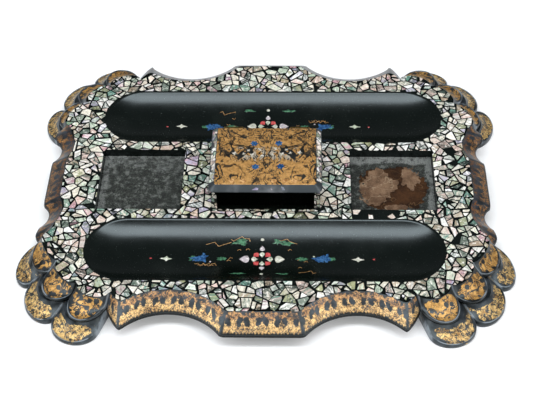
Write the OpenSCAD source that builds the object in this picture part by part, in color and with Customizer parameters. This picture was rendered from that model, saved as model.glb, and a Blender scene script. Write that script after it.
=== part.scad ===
// Victorian lacquered inkstand: a low shaped tray with shell mosaic, two pen troughs,
// two square ink-bottle wells and a raised centre box with a hinged lid. The tray stands
// on the lower tiers of its four corner fans, and its rims stay clear of the table.
// Frame: Z up, table at Z = 0, front edge towards -Y, right side towards +X.

/* [Tray] */
// Height of the mosaic deck above the table
deck_h = 20.5; // [20:0.5:24]
// Half depth of the deck at its straight centre sections
deck_half_depth = 124; // [120:1:128]
// Half width of the deck at the middle of its sides
deck_half_width = 147; // [144:1:150]
// Width of the sloping rim at the front
rim_front_w = 13.7; // [12:0.1:15]
// Width of the sloping rim at the back
rim_back_w = 10.3; // [9:0.1:15]
// Width of the sloping rim at the sides
rim_side_w = 12.5; // [12:0.5:14]
// Clear height under the base board
board_z = 10.2; // [9.5:0.1:10.3]
// Thickness of the shell veneer
veneer_t = 0.5; // [0.4:0.1:1]
// Thickness of the deck panel under the veneer
panel_t = 2.5; // [2:0.5:4]
// Thickness of the base board, which shows as a black lip
board_t = 1.8; // [1.5:0.1:1.8]
// Thickness of the baize under the base board
baize_t = 0.6; // [0.4:0.1:1]
// Distance of the fittings' centre line from the middle of the tray
fittings_y = -2.2; // [-4:0.1:4]

/* [Rim scallops] */
// Distance of the long scallops' centres from the middle, across the tray
long_arc_x = 62.5; // [60:0.5:65]
// Distance of the long scallops' centres from the middle, front to back
long_arc_y = 156; // [152:0.5:160]
// Radius of the long scallops at the deck
long_arc_r = 50; // [46:0.5:52]
// Distance of the side scallops' centres from the middle, across the tray
side_arc_x = 168; // [166:0.5:170]
// Distance of the side scallops' centres from the middle, front to back
side_arc_y = 33; // [30:0.5:36]
// Radius of the side scallops at the deck
side_arc_r = 24.5; // [22:0.5:26]

/* [Corner fans] */
// Fan centre, across the tray
fan_x = 68; // [64:1:72]
// Fan centre, front to back
fan_y = 8; // [4:1:12]
// Height of the lip of the upper lobes
upper_lip_z = 13.5; // [13:0.1:15]
// Height of the lip of the lower lobes
lower_lip_z = 3; // [2.6:0.1:4]
// Height of the ridges between the lobes
ridge_h = 2.2; // [1:0.1:3]

/* [Pen troughs] */
// Half length of the front trough
trough_front_half_l = 123.5; // [115:0.5:128]
// Half length of the back trough
trough_back_half_l = 127; // [115:0.5:128]
// Distance of the back trough from the middle, towards the right
trough_back_x = 3; // [0:0.5:3]
// Width of a trough
trough_w = 57; // [50:1:60]
// Depth of a trough
trough_d = 8.5; // [6:0.5:9]
// Distance of a trough's centre line from the fittings' centre line
trough_off = 67.3; // [66:0.1:68]
// Width of the flat lip around a trough's bed
trough_lip = 0.8; // [0.5:0.1:1.2]
// Thickness of a trough's shell
trough_t = 1.6; // [1.2:0.1:2]
// Thickness of the trough inlays
inlay_t = 0.4; // [0.3:0.1:0.6]

/* [Ink wells] */
// Side of a square well
well_w = 60; // [50:1:64]
// Distance of a well's centre from the middle of the tray
well_x = 90.4; // [88:0.1:94]
// Depth of a well below the deck
well_d = 6.9; // [5:0.1:8]
// Thickness of a well's walls and floor
well_t = 1.5; // [1:0.1:2]
// Thickness of the felt in a well
felt_t = 0.9; // [0.5:0.1:1.2]

/* [Centre box] */
// Outer width of the box
box_w = 76; // [70:1:80]
// Outer depth of the box
box_depth = 60; // [50:1:62]
// Height of the box above the deck
box_h = 19; // [12:0.5:25]
// Thickness of the box walls
box_t = 4; // [3:0.5:5]

/* [Lid] */
// Width of the lid
lid_w = 79; // [78:1:84]
// Thickness of the lid
lid_t = 4.2; // [3.5:0.1:6]
// Overhang of the lid in front of the box
lid_over = 2.6; // [1:0.1:5]
// Width of the lid's bevel
bevel_w = 4.2; // [3:0.1:6]
// Height of the lid's square edge under the bevel
edge_h = 1; // [0.5:0.1:1.5]

/* [Hinges] */
// Distance of each hinge from the middle of the box
hinge_x = 24; // [16:1:28]
// Length of a hinge
hinge_l = 14; // [10:1:18]
// Radius of a knuckle
knuckle_r = 1.5; // [1.3:0.1:1.8]
// Radius of a hinge pin
pin_r = 0.7; // [0.5:0.1:0.9]
// Running clearance around a hinge pin
pin_gap = 0.05; // [0.03:0.01:0.08]
// Thickness of a hinge leaf
leaf_t = 0.7; // [0.5:0.1:0.9]
// Radius of a hinge nail
nail_r = 0.5; // [0.4:0.05:0.6]

/* [Hidden] */
$fn = 64;

// Levels
board_top = board_z + board_t;
panel_top = deck_h - veneer_t;
panel_z = panel_top - panel_t;
well_floor = deck_h - well_d;
box_top = deck_h + box_h;
lid_top = box_top + lid_t;

// Box and lid, front to back
box_y0 = fittings_y - box_depth / 2;
box_y1 = fittings_y + box_depth / 2;
lid_y0 = box_y0 - lid_over;
lid_y1 = box_y1;
box_in_w = box_w - 2 * box_t;

// Hinge axis, just behind the back of the box at the joint between box and lid
axis_y = box_y1 + leaf_t + 1;
axis_z = box_top;
bore_r = pin_r + pin_gap;

// Heights of the hinge nails above the joint between box and lid
box_nail_z = [-3.6, -6.6];
lid_nail_z = 2.5;

// Radius of a trough's section, from the width of its bed and its depth
trough_bed_w = trough_w - 2 * trough_lip;
trough_r = (pow(trough_bed_w / 2, 2) + trough_d * trough_d) / (2 * trough_d);
trough_bottom = deck_h - trough_d - trough_t;
trough_under_r = trough_r + trough_t;
trough_slot_w = 2 * sqrt(pow(trough_under_r, 2) - pow(trough_under_r + trough_bottom - board_top, 2)) + 1;

// Directions of the four ridges of each tier of a fan, and the radii of its edges there and between them
fan_edge = [30, 45.2, 58.7, 71.6];
foot_edge = [25.7, 41.4, 56.8, 71.2];
deck_ridge = [98, 102, 107, 106];
deck_lobe = [103.5, 110.5, 114];
upper_ridge = [101, 108.5, 111, 109.5];
upper_lobe = [114.4, 125.3, 130.9];
lower_ridge = [101.6, 119.8, 129.5, 127.7];
lower_lobe = [124.9, 137.9, 142.7];
fan_wall_r = 95;
lobe_steps = 10;

function mix(a, b, t) = a + (b - a) * t;
function arc(cx, cy, r, a0, a1, n) =
    [for (i = [0:n]) [cx + r * cos(mix(a0, a1, i / n)), cy + r * sin(mix(a0, a1, i / n))]];
function flip_x(p) = [for (i = [len(p) - 1:-1:0]) [-p[i][0], p[i][1]]];
function flip_y(p) = [for (i = [len(p) - 1:-1:0]) [p[i][0], -p[i][1]]];

// How a long scallop's arc changes from the deck to the foot of the rim: its centre moves out,
// and its radius loses a share of the rim's width and a little more
foot_arc_shift = 5.3;
foot_arc_share = 0.53;
foot_arc_trim = 0.5;

// ---- Rim paths: deck edge (out = 0) and foot of the rim (out = 1), same number of points ----
// w is the rim's width in the middle, which differs between the front and the back
function long_half(out, w) =
    let (
        r = long_arc_r - out * (foot_arc_share * w + foot_arc_trim),
        y = deck_half_depth + out * w,
        cy = long_arc_y + out * foot_arc_shift,
        a0 = 180 + asin((cy - y) / r),
        cusp = [94.6, mix(116.2, 132.8, out)],
        a1 = 360 - atan2(cy - cusp[1], cusp[0] - long_arc_x)
    )
    concat([[0, y], [12, y]],
        arc(long_arc_x, cy, r, a0, a1 - 4, 14),
        [cusp, [mix(98.4, 99.6, out), mix(112.4, 125.6, out)],
         fan_pt(fan_edge[3] + 0.3, mix(106, 114.5, out))]);

function side_half(out) =
    let (
        r = side_arc_r - out * (rim_side_w - 2),
        x = deck_half_width + out * rim_side_w,
        a = acos((side_arc_x - x) / r)
    )
    concat([[x, 0], [x, 8]],
        arc(side_arc_x, side_arc_y, r, 180 + a, 180 - a, 8),
        [[mix(147.3, 161.2, out), mix(47.5, 51.8, out)], [mix(149.3, 158.8, out), mix(52.8, 56, out)],
         fan_pt(fan_edge[0] - 0.3, mix(98, 101.6, out))]);

// ---- Corner fans in polar form about the fan centre ----
function lobe_r(ridge, lobe, k, s) =
    mix(ridge[k], ridge[k + 1], s)
    + (lobe[k] - (ridge[k] + ridge[k + 1]) / 2) * sqrt(max(0, 4 * s * (1 - s)));
function fan_pt(a, r) = [fan_x + r * cos(a), fan_y + r * sin(a)];
function fan_samples() =
    [for (k = [0:2]) for (i = [0:(k == 2 ? lobe_steps : lobe_steps - 1)])
        [k, 0.5 - 0.5 * cos(180 * i / lobe_steps)]];
function fan_angle(edge, q) = mix(edge[q[0]], edge[q[0] + 1], q[1]);
function fan_outline(ridge, lobe, inset) =
    [for (q = fan_samples()) fan_pt(fan_angle(fan_edge, q), lobe_r(ridge, lobe, q[0], q[1]) - inset)];

function deck_quarter() =
    concat(long_half(0, rim_front_w),
        flip_order(fan_outline(deck_ridge, deck_lobe, 0)),
        flip_order(side_half(0)));
function board_quarter(w) =
    concat(long_half(1, w), flip_order(fan_outline(upper_ridge, upper_lobe, 1.4)), flip_order(side_half(1)));
function baize_quarter() =
    concat([[0, 116], [97.5, 116]], arc(fan_x, fan_y, fan_wall_r - 0.5, 71, 27, 8), [[152, 0]]);
function flip_order(p) = [for (i = [len(p) - 1:-1:0]) p[i]];
function tail(p) = [for (i = [1:len(p) - 1]) p[i]];
function head(p) = [for (i = [0:len(p) - 2]) p[i]];

// A quarter runs from the middle of the back to the middle of the right side. The front one is flipped.
module whole(q, front) {
    right = concat(q, tail(flip_y(front)));
    polygon(concat(right, tail(head(flip_x(right)))));
}

// A closed skin through sections that all have the same number of points
module skin(sections) {
    n = len(sections[0]);
    m = len(sections);
    points = [for (s = sections) for (p = s) p];
    sides = [for (i = [0:m - 2]) for (j = [0:n - 1])
        [i * n + j, i * n + (j + 1) % n, (i + 1) * n + (j + 1) % n, (i + 1) * n + j]];
    polyhedron(points,
        concat([[for (j = [n - 1:-1:0]) j]], sides, [[for (j = [0:n - 1]) (m - 1) * n + j]]),
        convexity = 6);
}

// ---- Tray ----
module base_baize() {
    color("darkgreen")
        translate([0, 0, board_z - baize_t])
            linear_extrude(baize_t)
                whole(baize_quarter(), baize_quarter());
}

module base_board() {
    color([0.1, 0.1, 0.1])
        translate([0, 0, board_z])
            linear_extrude(board_t)
                difference() {
                    whole(board_quarter(rim_back_w), board_quarter(rim_front_w));
                    // Slots for the bellies of the troughs
                    translate([0, fittings_y - trough_off])
                        stadium(trough_front_half_l, trough_slot_w / 2);
                    translate([trough_back_x, fittings_y + trough_off])
                        stadium(trough_back_half_l, trough_slot_w / 2);
                }
}

module deck_openings() {
    translate([0, fittings_y - trough_off])
        stadium(trough_front_half_l, trough_w / 2);
    translate([trough_back_x, fittings_y + trough_off])
        stadium(trough_back_half_l, trough_w / 2);
    for (s = [-1, 1])
        translate([s * well_x, fittings_y])
            square(well_w, center = true);
    translate([0, fittings_y])
        square([box_in_w, box_depth - 2 * box_t], center = true);
}

// Round-ended shape about a trough's middle: the end centres stay where the trough's own are
module stadium(half_l, r) {
    end_x = half_l - trough_w / 2;
    square([2 * end_x, 2 * r], center = true);
    for (s = [-1, 1])
        translate([s * end_x, 0])
            circle(r);
}

module tray_deck() {
    color([0.12, 0.12, 0.12])
        translate([0, 0, panel_z])
            linear_extrude(panel_t)
                difference() {
                    whole(deck_quarter(), deck_quarter());
                    deck_openings();
                }
}

module shell_mosaic() {
    color([0.8, 0.85, 0.8])
        translate([0, 0, panel_top])
            linear_extrude(veneer_t)
                difference() {
                    whole(deck_quarter(), deck_quarter());
                    deck_openings();
                    translate([0, fittings_y])
                        square([box_w, box_depth], center = true);
                    translate([-box_w / 2, box_y0 - 2])
                        square([box_w, 2.2]);
                }
}

function mirrored(p, turn) = [p[0] * turn[0], p[1] * turn[1]];
function rim_section(a, b) =
    [for (c = [[a, board_top], [b, board_top], [mix(a, b, 0.94), board_top + 0.9], [a, deck_h]])
        [c[0][0], c[0][1], c[1]]];

module rim(half) {
    inner = half[0];
    outer = half[1];
    n = len(inner);
    // The halves of a front or back rim mirror left to right, those of a side rim front to back
    turn = half[2] ? [-1, 1] : [1, -1];
    near = [for (i = [n - 1:-1:1]) rim_section(mirrored(inner[i], turn), mirrored(outer[i], turn))];
    far = [for (i = [0:n - 1]) rim_section(inner[i], outer[i])];
    skin(half[2] ? concat(near, far) : flip_order(concat(near, far)));
}

module rim_back() {
    color([0.75, 0.55, 0.3])
        rim([long_half(0, rim_back_w), long_half(1, rim_back_w), true]);
}

module rim_front() {
    color([0.75, 0.55, 0.3])
        mirror([0, 1, 0])
            rim([long_half(0, rim_front_w), long_half(1, rim_front_w), true]);
}

module rim_right() {
    color([0.75, 0.55, 0.3])
        rim([side_half(0), side_half(1), false]);
}

module rim_left() {
    color([0.75, 0.55, 0.3])
        mirror([1, 0, 0])
            rim([side_half(0), side_half(1), false]);
}

// ---- Corner fans ----
function flute(s) = pow(abs(2 * s - 1), 2.5);

module fan_upper() {
    skin([for (q = fan_samples())
        let (
            a = fan_angle(fan_edge, q),
            r1 = lobe_r(upper_ridge, upper_lobe, q[0], q[1]),
            r0 = min(lobe_r(deck_ridge, deck_lobe, q[0], q[1]), r1 - 1.5),
            f = flute(q[1]),
            lip = upper_lip_z + ridge_h * f
        )
        [for (c = [[r0, board_top], [r1 - 0.6, board_top], [r1, board_top + 0.6], [r1 - 0.4, lip],
            [mix(r0, r1, 0.66), mix(deck_h, lip, 0.86) - 0.7 * (1 - f)],
            [mix(r0, r1, 0.33), mix(deck_h, lip, 0.5) - 0.5 * (1 - f)], [r0, deck_h]])
            [fan_x + c[0] * cos(a), fan_y + c[0] * sin(a), c[1]]]]);
}

module fan_lower() {
    skin([for (q = fan_samples())
        let (
            a = fan_angle(foot_edge, q),
            r1 = lobe_r(lower_ridge, lower_lobe, q[0], q[1]),
            f = flute(q[1]),
            r2 = max(fan_wall_r + 1, r1 - 12.5 - 4.5 * f),
            lip = lower_lip_z + ridge_h * f
        )
        [for (c = [[fan_wall_r, 0], [r1 - 0.6, 0], [r1, 0.8], [r1 - 0.6, lip],
            [mix(r2, r1, 0.6), mix(board_z, lip, 0.62)], [r2, board_z], [fan_wall_r, board_z]])
            [fan_x + c[0] * cos(a), fan_y + c[0] * sin(a), c[1]]]]);
}

module fan_upper_back_right() {
    color([0.6, 0.42, 0.2])
        fan_upper();
}

module fan_upper_back_left() {
    color([0.6, 0.42, 0.2])
        mirror([1, 0, 0])
            fan_upper();
}

module fan_upper_front_right() {
    color([0.6, 0.42, 0.2])
        mirror([0, 1, 0])
            fan_upper();
}

module fan_upper_front_left() {
    color([0.6, 0.42, 0.2])
        rotate([0, 0, 180])
            fan_upper();
}

module fan_lower_back_right() {
    color([0.5, 0.35, 0.18])
        fan_lower();
}

module fan_lower_back_left() {
    color([0.5, 0.35, 0.18])
        mirror([1, 0, 0])
            fan_lower();
}

module fan_lower_front_right() {
    color([0.5, 0.35, 0.18])
        mirror([0, 1, 0])
            fan_lower();
}

module fan_lower_front_left() {
    color([0.5, 0.35, 0.18])
        rotate([0, 0, 180])
            fan_lower();
}

// ---- Pen troughs ----
// A long round-ended solid whose underside is the concave bed, or a layer below it
module trough_bed(half_l, depth_below) {
    r = trough_r + depth_below;
    end_x = half_l - trough_w / 2;
    translate([0, 0, deck_h + trough_r - trough_d]) {
        rotate([0, 90, 0])
            cylinder(r = r, h = 2 * end_x, center = true);
        for (s = [-1, 1])
            translate([s * end_x, 0, 0])
                sphere(r);
    }
}

module diamond(l, w) {
    polygon([[-l / 2, 0], [0, -w / 2], [l / 2, 0], [0, w / 2]]);
}

// Places of the painted and pearl pieces in a trough
module inlay_shapes() {
    for (a = [0:90:270])
        rotate(a) {
            translate([4.6, 0])
                circle(d = 5, $fn = 24);
            rotate(45)
                translate([5.4, 0])
                    diamond(5.6, 2.6);
        }
    circle(d = 2.6, $fn = 20);
    for (s = [-1, 1]) {
        translate([12.6 * s, 0])
            circle(d = 5.6, $fn = 24);
        translate([28.5 * s, 0])
            circle(d = 6, $fn = 24);
        translate([43 * s, 0])
            circle(d = 6.5, $fn = 24);
        translate([65.8 * s, 0])
            diamond(9, 8);
    }
}

module trough_shell(half_l, inlay_x) {
    difference() {
        intersection() {
            translate([0, 0, board_z])
                linear_extrude(deck_h - board_z)
                    stadium(half_l, trough_w / 2);
            trough_bed(half_l, trough_t);
        }
        trough_bed(half_l, 0);
        translate([inlay_x, 0, 0])
            inlay_layer();
    }
}

module inlay_layer() {
    intersection() {
        difference() {
            translate([0, 0, deck_h + trough_r - trough_d])
                rotate([0, 90, 0])
                    cylinder(r = trough_r + inlay_t, h = 160, center = true);
            translate([0, 0, deck_h + trough_r - trough_d])
                rotate([0, 90, 0])
                    cylinder(r = trough_r, h = 161, center = true);
        }
        translate([0, 0, deck_h - trough_d - 2])
            linear_extrude(5)
                inlay_shapes();
    }
}

module pen_trough_front() {
    color([0.1, 0.11, 0.12])
        translate([0, fittings_y - trough_off, 0])
            trough_shell(trough_front_half_l, 0);
}

module pen_trough_back() {
    color([0.1, 0.11, 0.12])
        translate([trough_back_x, fittings_y + trough_off, 0])
            trough_shell(trough_back_half_l, -trough_back_x);
}

module trough_inlay_front() {
    color([0.9, 0.9, 0.8])
        translate([0, fittings_y - trough_off, 0])
            inlay_layer();
}

module trough_inlay_back() {
    color([0.9, 0.9, 0.8])
        translate([0, fittings_y + trough_off, 0])
            inlay_layer();
}

// ---- Ink wells ----
module well_cup() {
    difference() {
        translate([-well_w / 2 - well_t, -well_w / 2 - well_t, well_floor - well_t])
            cube([well_w + 2 * well_t, well_w + 2 * well_t, panel_z - well_floor + well_t]);
        translate([-well_w / 2, -well_w / 2, well_floor])
            cube([well_w, well_w, deck_h]);
    }
}

module well_pad(patch) {
    difference() {
        translate([-well_w / 2 + 0.2, -well_w / 2 + 0.2, well_floor])
            cube([well_w - 0.4, well_w - 0.4, felt_t]);
        if (patch)
            translate([-17, -20, well_floor - 1])
                cube([42, 40, felt_t + 2]);
    }
}

module ink_well_left() {
    color([0.12, 0.1, 0.1])
        translate([-well_x, fittings_y, 0])
            well_cup();
}

module ink_well_right() {
    color([0.12, 0.1, 0.1])
        translate([well_x, fittings_y, 0])
            well_cup();
}

module well_felt_left() {
    color([0.28, 0.3, 0.28])
        translate([-well_x, fittings_y, 0])
            well_pad(false);
}

module well_felt_right() {
    color([0.28, 0.3, 0.28])
        translate([well_x, fittings_y, 0])
            well_pad(true);
}

module well_paper_right() {
    color([0.75, 0.62, 0.45])
        translate([well_x - 17, fittings_y - 20, well_floor])
            cube([42, 40, 0.3]);
}

module well_board_right() {
    color([0.3, 0.18, 0.1])
        translate([well_x + 3, fittings_y - 12, well_floor + 0.3])
            cube([18, 27, 0.4]);
}

// ---- Centre box ----
module box_wall_left() {
    color([0.1, 0.1, 0.1])
        translate([-box_w / 2, box_y0 + 0.6, panel_top])
            cube([box_t, box_depth - 0.6, box_top - panel_top]);
}

module box_wall_right() {
    color([0.1, 0.1, 0.1])
        translate([box_w / 2 - box_t, box_y0 + 0.6, panel_top])
            cube([box_t, box_depth - 0.6, box_top - panel_top]);
}

module box_wall_back() {
    color([0.1, 0.1, 0.1])
        difference() {
            translate([-box_in_w / 2, box_y1 - box_t, panel_top])
                cube([box_in_w, box_t, box_top - panel_top]);
            nail_places(box_nail_z[0])
                cylinder(r = nail_r + 0.02, h = 6, center = true, $fn = 24);
            nail_places(box_nail_z[1])
                cylinder(r = nail_r + 0.02, h = 6, center = true, $fn = 24);
        }
}

module box_floor() {
    color([0.08, 0.08, 0.08])
        difference() {
            translate([-box_w / 2, box_y0, well_floor - well_t])
                cube([box_w, box_depth, panel_z - well_floor + well_t]);
            translate([-box_in_w / 2, box_y0 + box_t, well_floor])
                cube([box_in_w, box_depth - 2 * box_t, deck_h]);
        }
}

module box_shell_edges() {
    color([0.85, 0.82, 0.75])
        for (s = [-1, 1])
            translate([s * (box_w / 2 - box_t / 2) - box_t / 2, box_y0, panel_top])
                cube([box_t, 0.6, box_top - panel_top]);
}

module box_sill() {
    color([0.85, 0.82, 0.75])
        translate([-box_w / 2, box_y0 - 2, panel_top])
            cube([box_w, 2, veneer_t + 0.2]);
}

// ---- Lid ----
// Solid that a bevelled cut leaves: sloping planes on the front and both sides
module bevel_cut(extra) {
    rise = lid_t - edge_h;
    slope = atan2(rise, bevel_w);
    translate([0, lid_y0, box_top + edge_h + extra])
        rotate([slope, 0, 0])
            translate([-lid_w, -20, 0])
                cube([2 * lid_w, 60, 20]);
    for (s = [-1, 1])
        translate([s * lid_w / 2, 0, box_top + edge_h + extra])
            rotate([0, s * slope, 0])
                translate([-30, -lid_w, 0])
                    cube([60, 2 * lid_w, 20]);
}

module lid_block() {
    translate([-lid_w / 2, lid_y0, box_top])
        cube([lid_w, lid_y1 - lid_y0, lid_t]);
}

module lid_panel() {
    color([0.1, 0.1, 0.1])
        difference() {
            lid_block();
            bevel_cut(-veneer_t);
            translate([-lid_w / 2 + bevel_w, lid_y0 + bevel_w, lid_top - 0.3])
                cube([lid_w - 2 * bevel_w, lid_y1 - lid_y0 - bevel_w - 1.2, 1]);
            nail_places(lid_nail_z)
                cylinder(r = nail_r + 0.02, h = 6, center = true, $fn = 24);
        }
}

module lid_gilt_top() {
    color([0.75, 0.6, 0.35])
        translate([-lid_w / 2 + bevel_w, lid_y0 + bevel_w, lid_top - 0.3])
            cube([lid_w - 2 * bevel_w, lid_y1 - lid_y0 - bevel_w - 1.2, 0.3]);
}

module lid_shell_bevel() {
    color([0.7, 0.7, 0.75])
        difference() {
            intersection() {
                lid_block();
                bevel_cut(-veneer_t);
            }
            bevel_cut(0);
            translate([-lid_w / 2 + bevel_w, lid_y0 + bevel_w, lid_top - 0.3])
                cube([lid_w - 2 * bevel_w, lid_y1 - lid_y0 - bevel_w - 1.2, 1]);
        }
}

module lid_lining() {
    color([0.35, 0.1, 0.12])
        translate([-box_in_w / 2 + 0.8, box_y0 + 2, box_top - 0.8])
            cube([box_in_w - 1.6, box_depth - box_t - 3.4, 0.8]);
}

// ---- Hinges ----
knuckles = 3;
knuckle_gap = 0.2;
knuckle_l = (hinge_l - (knuckles - 1) * knuckle_gap) / knuckles;

module nail_places(dz) {
    for (s = [-1, 1], t = [-1, 1])
        translate([s * hinge_x + t * hinge_l / 3.2, box_y1, box_top + dz])
            rotate([90, 0, 0])
                children();
}

// Knuckles with numbers in the list, on one axis, joined to their leaf
module hinge_half(which, z0, z1) {
    difference() {
        union() {
            difference() {
                translate([-hinge_l / 2, box_y1, z0])
                    cube([hinge_l, leaf_t, z1 - z0]);
                translate([-hinge_l, axis_y, axis_z])
                    rotate([0, 90, 0])
                        cylinder(r = knuckle_r + 0.2, h = 2 * hinge_l);
            }
            for (k = which)
                translate([-hinge_l / 2 + k * (knuckle_l + knuckle_gap), axis_y, axis_z]) {
                    rotate([0, 90, 0])
                        cylinder(r = knuckle_r, h = knuckle_l);
                    translate([0, box_y1 - axis_y, z1 > axis_z + 1 ? 0 : -knuckle_r - 0.8])
                        cube([knuckle_l, leaf_t, knuckle_r + 0.8]);
                }
        }
        translate([-hinge_l, axis_y, axis_z])
            rotate([0, 90, 0])
                cylinder(r = bore_r, h = 2 * hinge_l, $fn = 48);
    }
}

module hinge_leaf_box() {
    difference() {
        hinge_half([0, 2], box_top - 8.6, box_top - 0.2);
        translate([-hinge_x, 0, 0]) {
            nail_places(box_nail_z[0])
                cylinder(r = nail_r + 0.02, h = 6, center = true, $fn = 24);
            nail_places(box_nail_z[1])
                cylinder(r = nail_r + 0.02, h = 6, center = true, $fn = 24);
        }
    }
}

module hinge_leaf_lid() {
    difference() {
        hinge_half([1], box_top + 0.2, box_top + 3.6);
        translate([-hinge_x, 0, 0])
            nail_places(lid_nail_z)
                cylinder(r = nail_r + 0.02, h = 6, center = true, $fn = 24);
    }
}

module hinge_pin() {
    translate([-hinge_l / 2 - 0.5, axis_y, axis_z])
        rotate([0, 90, 0]) {
            cylinder(r = pin_r, h = hinge_l + 1, $fn = 48);
            cylinder(r = knuckle_r - 0.2, h = 0.5, $fn = 48);
            translate([0, 0, hinge_l + 0.5])
                cylinder(r = knuckle_r - 0.2, h = 0.5, $fn = 48);
        }
}

module nail() {
    translate([0, 0, -2.2])
        cylinder(r = nail_r, h = 2.2 + leaf_t, $fn = 24);
    translate([0, 0, leaf_t])
        cylinder(r = nail_r + 0.25, h = 0.35, $fn = 24);
}

module hinge_leaf_box_left() {
    color([0.75, 0.6, 0.3])
        translate([-hinge_x, 0, 0])
            hinge_leaf_box();
}

module hinge_leaf_box_right() {
    color([0.75, 0.6, 0.3])
        translate([hinge_x, 0, 0])
            hinge_leaf_box();
}

module hinge_leaf_lid_left() {
    color([0.75, 0.6, 0.3])
        translate([-hinge_x, 0, 0])
            hinge_leaf_lid();
}

module hinge_leaf_lid_right() {
    color([0.75, 0.6, 0.3])
        translate([hinge_x, 0, 0])
            hinge_leaf_lid();
}

module hinge_pin_left() {
    color([0.7, 0.55, 0.28])
        translate([-hinge_x, 0, 0])
            hinge_pin();
}

module hinge_pin_right() {
    color([0.7, 0.55, 0.28])
        translate([hinge_x, 0, 0])
            hinge_pin();
}

module hinge_nails_box() {
    color([0.7, 0.55, 0.28]) {
        nail_places(box_nail_z[0])
            mirror([0, 0, 1])
                nail();
        nail_places(box_nail_z[1])
            mirror([0, 0, 1])
                nail();
    }
}

module hinge_nails_lid() {
    color([0.7, 0.55, 0.28])
        nail_places(lid_nail_z)
            mirror([0, 0, 1])
                nail();
}

base_baize();
base_board();
tray_deck();
shell_mosaic();
rim_front();
rim_back();
rim_left();
rim_right();
fan_upper_front_left();
fan_upper_front_right();
fan_upper_back_left();
fan_upper_back_right();
fan_lower_front_left();
fan_lower_front_right();
fan_lower_back_left();
fan_lower_back_right();
pen_trough_front();
pen_trough_back();
trough_inlay_front();
trough_inlay_back();
ink_well_left();
ink_well_right();
well_felt_left();
well_felt_right();
well_paper_right();
well_board_right();
box_wall_left();
box_wall_right();
box_wall_back();
box_floor();
box_shell_edges();
box_sill();
lid_panel();
lid_gilt_top();
lid_shell_bevel();
lid_lining();
hinge_leaf_box_left();
hinge_leaf_box_right();
hinge_leaf_lid_left();
hinge_leaf_lid_right();
hinge_pin_left();
hinge_pin_right();
hinge_nails_box();
hinge_nails_lid();
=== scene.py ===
"""Looks of the lacquered inkstand: shell mosaic, gilt rims and fans, pen troughs, lined wells, box and lid.

Lengths inside the script are in millimetres, in the CAD frame; a mesh is scaled to metres when it is made.
"""

import math
import random

import bmesh
import bpy
import numpy as np
from mathutils import Matrix, Vector
from mathutils import geometry
from mathutils import noise as mnoise


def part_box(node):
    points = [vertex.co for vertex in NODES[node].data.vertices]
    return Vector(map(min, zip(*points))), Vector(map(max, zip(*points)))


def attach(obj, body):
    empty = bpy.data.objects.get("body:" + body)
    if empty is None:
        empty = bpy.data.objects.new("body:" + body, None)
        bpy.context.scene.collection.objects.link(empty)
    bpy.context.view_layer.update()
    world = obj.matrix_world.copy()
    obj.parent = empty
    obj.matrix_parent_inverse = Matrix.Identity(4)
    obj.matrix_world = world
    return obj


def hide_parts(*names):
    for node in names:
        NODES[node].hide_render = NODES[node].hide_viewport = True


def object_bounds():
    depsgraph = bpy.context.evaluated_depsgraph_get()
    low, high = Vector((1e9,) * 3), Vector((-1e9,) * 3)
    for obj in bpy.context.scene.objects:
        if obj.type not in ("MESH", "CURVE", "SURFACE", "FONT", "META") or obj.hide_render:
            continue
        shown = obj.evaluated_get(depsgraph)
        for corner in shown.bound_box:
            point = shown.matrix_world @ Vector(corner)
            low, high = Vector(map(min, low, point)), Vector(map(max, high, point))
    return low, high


MM = 0.001
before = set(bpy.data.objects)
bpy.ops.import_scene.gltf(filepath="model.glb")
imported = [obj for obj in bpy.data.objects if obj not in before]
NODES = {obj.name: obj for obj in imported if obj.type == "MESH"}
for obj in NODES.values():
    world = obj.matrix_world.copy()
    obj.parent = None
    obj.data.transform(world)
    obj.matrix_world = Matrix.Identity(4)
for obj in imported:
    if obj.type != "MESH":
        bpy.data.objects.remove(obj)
CAD_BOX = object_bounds()


def box_mm(node):
    """Lowest and highest corner of a CAD node, in millimetres."""
    return [[c / MM for c in corner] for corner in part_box(node)]


# ---- Sizes, from the frame where it has them ----
DECK = box_mm("shell_mosaic")[1][2]
PANEL_BOTTOM = box_mm("tray_deck")[0][2]
BOARD, BOARD_TOP = (corner[2] for corner in box_mm("base_board"))
SHELF = box_mm("fan_upper_back_right")[0][2]
LIP_UPPER = 13.5
LIP_LOWER = 3.0
RIDGE = 2.2
DECK_HALF_DEPTH = 124.0
DECK_HALF_WIDTH = 147.0
RIM_FRONT = 13.7
RIM_BACK = 10.3
RIM_SIDE = 12.5
RIM_EDGE = 0.9
RIM_SLOPE_END = 0.97
RIM_STEPS = 11
LONG_ARC = (62.5, 156.0, 50.0)
FOOT_ARC_SHIFT, FOOT_ARC_SHARE, FOOT_ARC_TRIM = 5.3, 0.53, 0.5
SIDE_ARC = (168.0, 33.0, 24.5)
FAN_CENTRE = (68.0, 8.0)
FAN_EDGES = (30.0, 45.2, 58.7, 71.6)
FOOT_EDGES = (25.7, 41.4, 56.8, 71.2)
DECK_FAN = ((98, 102, 107, 106), (103.5, 110.5, 114))
UPPER_FAN = ((101, 108.5, 111, 109.5), (114.4, 125.3, 130.9))
LOWER_FAN = ((101.6, 119.8, 129.5, 127.7), (124.9, 137.9, 142.7))
FAN_WALL = 95.0
FACET_SAG = 0.14
SECTION_STEPS = 14
LOBE_STEPS = 26
BARE_PATCH_HALF = (13.0, 4.5)
SMALLEST_SHARD = 1.6
SHARD_FIT = 0.06
SHARD_CUTS = 4
SHARD_NEIGHBOURS = 15

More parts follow.
